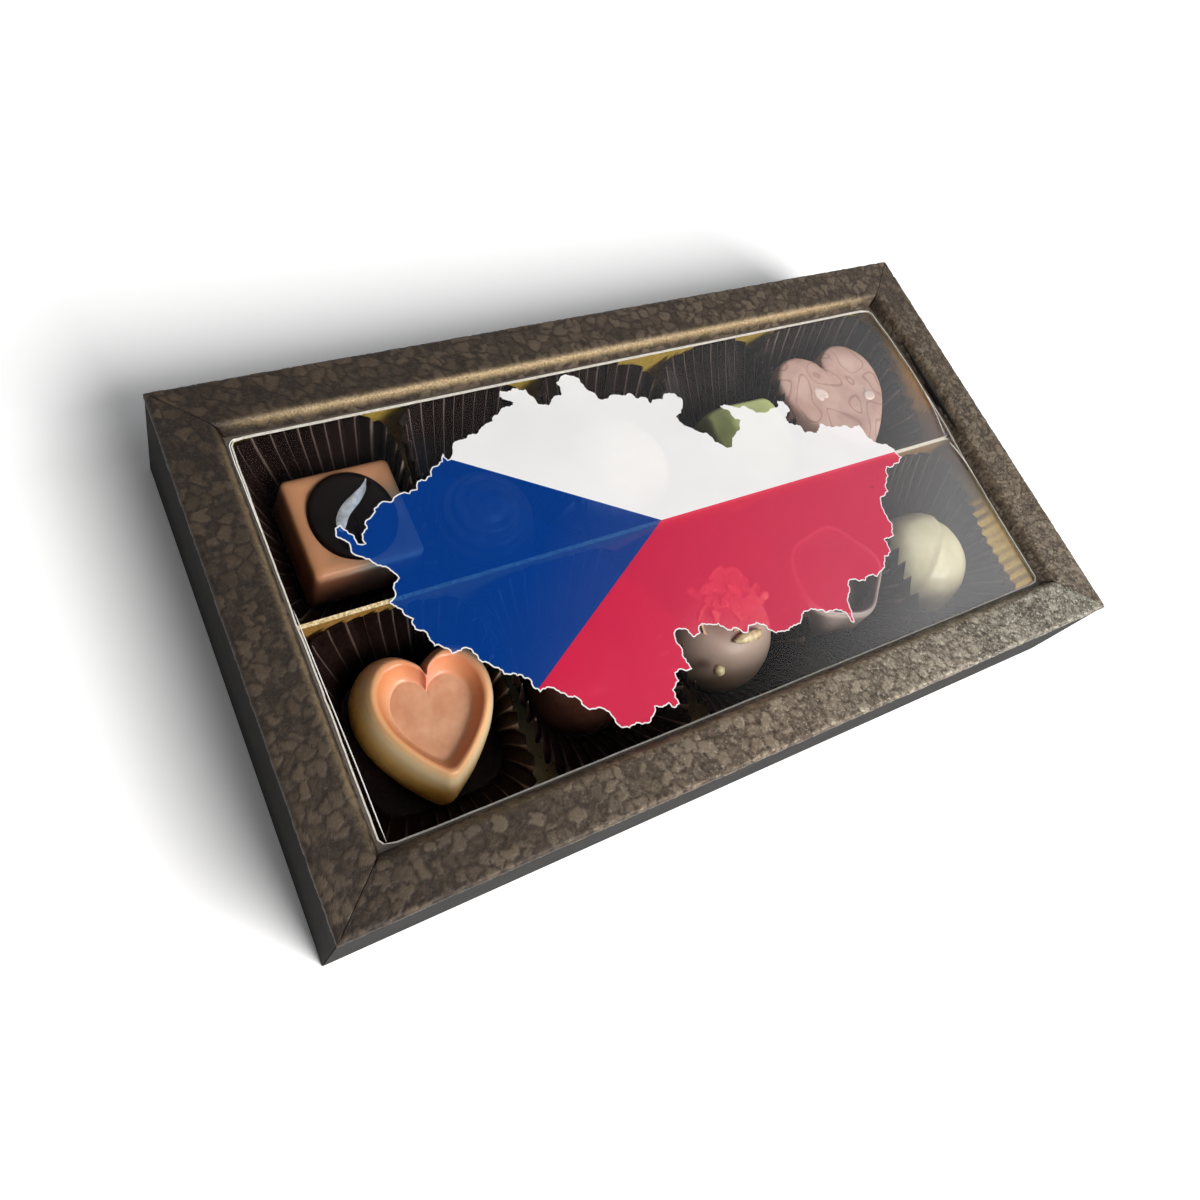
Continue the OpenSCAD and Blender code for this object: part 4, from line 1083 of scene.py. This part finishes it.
def pistachio_praline():
    at, half_l, half_w, high = place_of("pistachio_praline")
    outline = outline_loop(PISTACHIO_SHARES, half_l * 0.99, half_w * 0.99)
    levels = [(0, 0.97), (0.06, 1), (0.5, 0.98), (0.86, 0.955), (0.95, 0.93), (0.99, 0.89), (1, 0.8),
              (1, 0.4)]
    rings = stacked(at, outline, high, filled(levels, 40))
    x, y, z = np.moveaxis(rings, -1, 0)
    z += 0.25 * smooth_noise(x, y, 4.5, 3) * eased(z - at[2], high * 0.9, high) - 0.25
    coat = chocolate("pistachio_coat", (150, 158, 100), (196, 206, 150), 0.45, tint=True, patch=5)
    piece = moulded("pistachio_block", "pistachio_praline", rings, coat, 40)
    p = points_of(piece)
    # Painted shade: olive to the left, lighter green to the right
    t = eased((p[:, 0] - at[0]) / half_l + 0.25 * smooth_noise(p[:, 0], p[:, 1], 4, 8), -0.75, -0.05)[:, None]
    paint(piece, toward(np.array((94, 102, 52)), (180, 188, 126), t))


def marbled_heart():
    at, half_l, half_w, high = place_of("marbled_heart")
    outline = heart(2 * half_l * 1.05, 2 * half_w * 1.05, 4)
    levels = [(0, 0.95), (0.08, 0.98), (0.5, 1), (0.84, 0.985), (0.94, 0.965), (0.985, 0.935), (1, 0.88),
              (1, 0.3)]
    rings = stacked(at + np.array([0.8, 0.5, 0]), outline, high, filled(levels, 44))
    x, y, z = np.moveaxis(rings, -1, 0)
    z += 0.18 * smooth_noise(x, y, 6, 5) * eased(z - at[2], high * 0.9, high) - 0.12
    moulded("rose_heart", "marbled_heart", rings, marbled_chocolate(), 60)
    dots = []
    share, rise = np.array(((1.0, -0.6), (1.0, 0.1), (0.9, 0.25), (0.7, 0.3))).T[..., None]
    for k, (x, y, r, sunk) in enumerate(DOT_PLACES):
        shape = squircle(r, r * 0.85, 2.2, turns(36)) if k else heart(2 * r, 2 * r, 200, 36)
        x, y = at[0] + x + shape[:, 0] * share, at[1] + y + shape[:, 1] * share
        dots.append(grid(x, y, at[2] + high - sunk + rise))
    icing = plain("dot_icing", (240, 216, 206), 0.45, grain=2.5, shade=0.9)
    settle(tubes("pale_dots", dots, icing), "heart_dots")


def caramel_heart():
    at, half_l, half_w, high = place_of("caramel_heart")
    at = at + np.array([0.2, -0.6, 0])
    outline = heart(2 * half_l * 1.03, 2 * half_w * 1.06, -6)
    levels = [(0, 0.93), (0.08, 0.97), (0.25, 1), (0.5, 0.99), (0.7, 0.95), (0.85, 0.9), (0.95, 0.845),
              (1, 0.785), (0.99, 0.735), (0.94, 0.69), (0.86, 0.63), (0.79, 0.57), (0.775, 0.52)]
    rings = stacked(at, outline, high, filled(levels, 70))
    coat = chocolate("caramel_coat", (196, 134, 76), (226, 170, 112), 0.3, coat=0.3, tint=True, patch=7)
    piece = moulded("amber_heart", "caramel_heart", rings, coat)
    p = points_of(piece)
    row = rows_of(piece, rings)
    dx, dy = (p[:, 0] - at[0]) / 16, (p[:, 1] - at[1]) / 16
    base = blended([(0, (222, 156, 70)), (0.1, (252, 190, 96)), (0.25, (255, 208, 116)),
                    (0.42, (255, 214, 136)), (0.54, (252, 226, 176)), (0.64, (252, 234, 196)),
                    (0.72, (236, 190, 140)), (0.8, (206, 126, 80)), (0.92, (212, 150, 112)),
                    (1, (220, 166, 132))], row)
    # Cream to the right of its sides, warmer up its far rim, and a blush beside the cleft
    cream = eased(dx - 0.5 * dy, 0.1, 0.8) * (1 - eased(row, 0.45, 0.6))
    base = toward(base, (255, 230, 176), 0.7 * cream[:, None])
    warm = eased(dy + 0.35 * dx, 0.3, 1.1) * eased(row, 0.2, 0.45)
    base = toward(base, (236, 142, 104), 0.6 * warm[:, None])
    blush = np.exp(-(((p[:, 0] - at[0] - 1.5) / 3.5) ** 2 + ((p[:, 1] - at[1] - 7) / 4.5) ** 2))
    paint(piece, toward(base, (252, 160, 150), 0.8 * blush[:, None]))
    levels = [(0.7, 0.5), (0.74, 0.54), (0.782, 0.55), (0.788, 0.5), (0.79, 0.3), (0.79, 0.1)]
    filling = chocolate("caramel_filling", (194, 134, 98), (218, 166, 132), 0.34)
    pool = stacked(at, outline, high, levels)
    moulded("caramel_pool", "caramel_filling", pool, filling, 60)


def rows_of(piece, rings):
    """Each point's ring, from 0 at the foot to 1 at the last."""
    rows, count = rings.shape[:2]
    return np.clip(np.arange(len(piece.data.vertices)) // count, 0, rows - 1) / (rows - 1)


def plain_praline():
    rings, *_ = dome_rings("plain_praline")
    dark = chocolate("dark_milk_chocolate", (58, 36, 28), (84, 54, 42), 0.36, coat=0.15)
    moulded("plain_dome", "plain_praline", rings, dark)


def blob(centre, size, seed, first, count=14, rows=9):
    """A small uneven lump: its points and faces."""
    bumps = np.random.default_rng(seed).normal(0, 0.07, (rows - 2, count))
    th, ph = turns(count), np.linspace(0, math.pi, rows)[1:-1, None]
    unit = grid(np.sin(ph) * np.cos(th), np.sin(ph) * np.sin(th), -np.cos(ph))
    rings = centre + np.array(size) * (1 + bumps)[..., None] * unit
    pole = np.array([0, 0, size[2]])
    return fanned(rings, centre - pole, centre + pole, first)


def nut_praline():
    rings, at, half, high = dome_rings("nut_praline")
    taupe = chocolate("taupe_chocolate", (142, 122, 110), (176, 154, 142), 0.4, tint=True)
    piece = moulded("nut_dome", "nut_praline", rings, taupe)
    p = points_of(piece)
    # Painted shade darkens its left side; it is darker over the top as well
    dark = eased((at[0] - p[:, 0]) / half, 0.0, 0.9) * 0.35 + 0.65 * eased(p[:, 2] - at[2], high * 0.88, high)
    paint(piece, toward(np.array((196, 174, 160)), (112, 90, 80), dark[:, None]))
    points, faces = [], []
    for k, (*place, a, b, c) in enumerate(NUT_PLACES):
        more, sides = blob(at + place, (a, b, c), 40 + k, len(points))
        points += more
        faces += sides
    nut = plain("nut", (236, 220, 170), 0.5, grain=1.2)
    settle(mesh_piece("chopped_nuts", points, faces, nut, sharp_deg=180), "nut_pieces")
    crisp(at, high)


def crisp(at, high):
    """A crinkled wafer over the back of the nut praline, of many bent flakes."""
    rng = np.random.default_rng(77)
    t = turns(10)
    flakes = []
    for k in range(FLAKES):
        r = 9.5 * math.sqrt(k / FLAKES)
        cx, cy = at[0] + 1.5 + r * math.cos(2.4 * k), at[1] + 2.5 + r * math.sin(2.4 * k)
        cz = at[2] + high - 0.1 - 0.022 * r * r + rng.uniform(0, 0.5)
        turn, long, wide = rng.uniform(0, TAU), rng.uniform(2.2, 3.6), rng.uniform(1.2, 2.0)
        tilt = rng.uniform(-0.3, 0.3)
        edge = 1 + rng.uniform(-0.18, 0.18, (2, 10))
        u, v = long * edge * np.cos(t), wide * edge * np.sin(t)
        z = cz + np.array([[-0.18], [0.18]]) + tilt * u + 0.12 * np.sin(u * 2.5)
        x, y = turned(u, v, turn)
        flakes.append(grid(cx + x, cy + y, np.minimum(z, at[2] + high + 1.7)))
    wafer = plain("crisp", (222, 190, 150), 0.5, grain=1.5)
    settle(tubes("crisp_flakes", flakes, wafer, sharp_deg=30), "crisp_bits")


def dark_shell():
    at, half, _, high = place_of("dark_shell")
    half = half * 1.01
    th = turns(144)
    flute = 1 + 0.03 * (np.cos(9 * th + 0.5) - 1)
    lip = 1 + 0.045 * np.cos(5 * th + 0.4) + 0.03 * np.cos(2 * th)
    levels = [(0, 0.76), (0.15, 0.9), (0.45, 1), (0.8, 0.98), (0.95, 0.95), (1, 0.9), (0.985, 0.86),
              (0.9, 0.83), (0.7, 0.8), (0.62, 0.76)]
    z, share = filled(levels, 56).T[..., None]
    upper = eased(z, 0.6, 1.0)
    radius = (flute * (1 - upper) + lip * upper) * half * share * 0.985
    drop = upper * 0.3 * (1 + np.cos(5 * th + 0.4 + math.pi))
    rings = at + grid(radius * np.cos(th), radius * np.sin(th), z * high - drop)
    shell = chocolate("shell_chocolate", (112, 92, 84), (156, 136, 128), 0.28, coat=0.4, tint=True)
    piece = moulded("dark_cup_shell", "dark_shell", rings, shell)
    # A painted highlight: a pale band round the rim; the shell is darker inside, towards its floor
    tones_and_rim_highlight = [(0, (112, 92, 86)), (0.4, (150, 128, 120)), (0.62, (190, 172, 164)), (0.68, (222, 208, 200)),
             (0.76, (112, 92, 88)), (1, (58, 46, 44))]
    paint(piece, blended(tones_and_rim_highlight, rows_of(piece, rings)))
    foot, brim = (corner[2] for corner in box_of("shell_filling"))
    z, share = np.array(((foot, 0.9), (brim - 0.3, 0.98), (brim, 0.9), (brim + 0.2, 0.4))).T[..., None]
    radius = share * half * 0.78
    rings = grid(at[0] + radius * np.cos(th), at[1] + radius * np.sin(th), z)
    cream = chocolate("shell_filling", (48, 34, 30), (70, 52, 46), 0.35, coat=0.2)
    moulded("shell_cream", "shell_filling", rings, cream, 60)


def white_praline():
    at, half_l, half_w, high = place_of("white_praline")
    outline = outline_loop(WHITE_SHARES, half_l * 0.99, half_w * 0.99, 120)
    levels = [(0, 0.96), (0.08, 1), (0.35, 0.985), (0.58, 0.92), (0.76, 0.81), (0.89, 0.65), (0.96, 0.45),
              (0.995, 0.2), (1, 0.06)]
    rings = stacked(at, outline, high, filled(levels, 60))
    x, y = rings[..., 0] - at[0], rings[..., 1] - at[1]
    ridge = np.exp(-((x * 0.66 - y * 0.75 - 1.0) / 1.2) ** 2) * eased(-(x * 0.75 + y * 0.66), -6, 4)
    rings[..., 2] += 0.35 * ridge * eased(rings[..., 2] - at[2], 2, 9) - 0.35
    ivory = chocolate("white_chocolate", (226, 217, 176), (246, 240, 204), 0.28, coat=0.2)
    moulded("ivory_shell", "white_praline", rings, ivory)


# The CAD nodes that keep their shape take their materials here


def finish_nodes():
    looks = {"window_film": clear_film(), "cushion_pad": pad_paper(), "divider": divider_card()}
    card = wall_card()
    for name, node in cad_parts.items():
        if name.startswith("wall_") or name == "tray_floor":
            looks[name] = card
        if name.startswith("lining_") or name == "gold_sheet":
            looks[name] = GOLD
        if name in looks:
            for slot in node.material_slots:
                slot.material = looks[name]


# The room: the camera, a pale floor and soft light

CAMERA_AT = (-138.241, -79.472, 243.191)
CAMERA_AXES = ((0.84651, -0.42202, 0.32452), (0.25205, 0.85464, 0.45394), (-0.46892, -0.30247, 0.82984))
LENS_SHARE = 0.891
SENSOR_MM = 36
FLOOR_HALF = 3000
# How the floor brightens for the eye from beside the box to far off, by the way from the middle
NEAR, FAR = 400, 1300


def make_camera():
    data = bpy.data.cameras.new("camera")
    turn = Matrix(CAMERA_AXES).transposed().to_4x4()
    camera = placed("camera", data)
    camera.matrix_world = Matrix.Translation(Vector(CAMERA_AT) * MM) @ turn
    data.sensor_width = SENSOR_MM
    data.lens = SENSOR_MM * LENS_SHARE
    data.shift_x = -0.02
    data.shift_y = -0.05
    data.clip_start = 0.005
    bpy.context.scene.camera = camera


def area_light(name, place, side, watts, color):
    """A square lamp that looks at the box."""
    data = bpy.data.lights.new(name, "AREA")
    data.shape = "RECTANGLE"
    data.size = data.size_y = side * MM
    data.energy = watts
    data.color = color
    lamp = placed(name, data)
    lamp.location = Vector(place) * MM
    lamp.rotation_euler = (Vector((0, 0, 20)) * MM - lamp.location).to_track_quat("-Z", "Y").to_euler()


def make_floor():
    """A floor that lights the box as plain paper does, and is brighter and whiter for the rays that look."""
    corners = [(x * FLOOR_HALF, y * FLOOR_HALF, 0) for x, y in ((-1, -1), (1, -1), (1, 1), (-1, 1))]
    s = Shade("floor", color=(250, 250, 250), rough=0.9)
    reach = s.make("VectorMath", {0: s.point}, "Value", operation="LENGTH")
    glow = s.make("Emission", {"Color": WHITE, "Strength": s.remap(reach, NEAR, FAR, 0.03, 0.95)})
    lift = s.make("BsdfDiffuse", {"Color": (0.3, 0.3, 0.3, 1)})
    added = s.make("AddShader", {0: glow, 1: lift})
    s.surface(s.seen(), s.shader, s.make("AddShader", {0: s.shader, 1: added}))
    mesh_piece("floor", corners, [(0, 1, 2, 3)], s.mat, smooth=False)


def make_world():
    """Dim light on the box, and white for the rays that look."""
    world = bpy.data.worlds.new("studio")
    bpy.context.scene.world = world
    world.use_nodes = True
    w = Tree(world.node_tree, "World Output")
    dim = w.tree.nodes["Background"]
    w.feed(dim.inputs["Color"], (0.97, 0.98, 1.0, 1))
    w.feed(dim.inputs["Strength"], 0.12)
    w.surface(w.seen(), dim.outputs[0], w.make("Background", {"Color": WHITE, "Strength": 1.0}))


make_camera()
make_world()
make_floor()
area_light("softbox", (430, -1150, 1020), 950, 36, (1.0, 0.99, 0.98))
area_light("window", (1000, -400, 1200), 600, 4, (0.98, 0.99, 1.0))
bpy.context.scene.view_settings.view_transform = "Standard"

make_frame()
mounting_card()
print_fields()
for k, row in enumerate(CUPS):
    cup(*row, 100 + k)
lining_fold()
square_praline()
bean()
swirl_praline()
striped_praline()
pistachio_praline()
marbled_heart()
caramel_heart()
plain_praline()
nut_praline()
dark_shell()
white_praline()
finish_nodes()
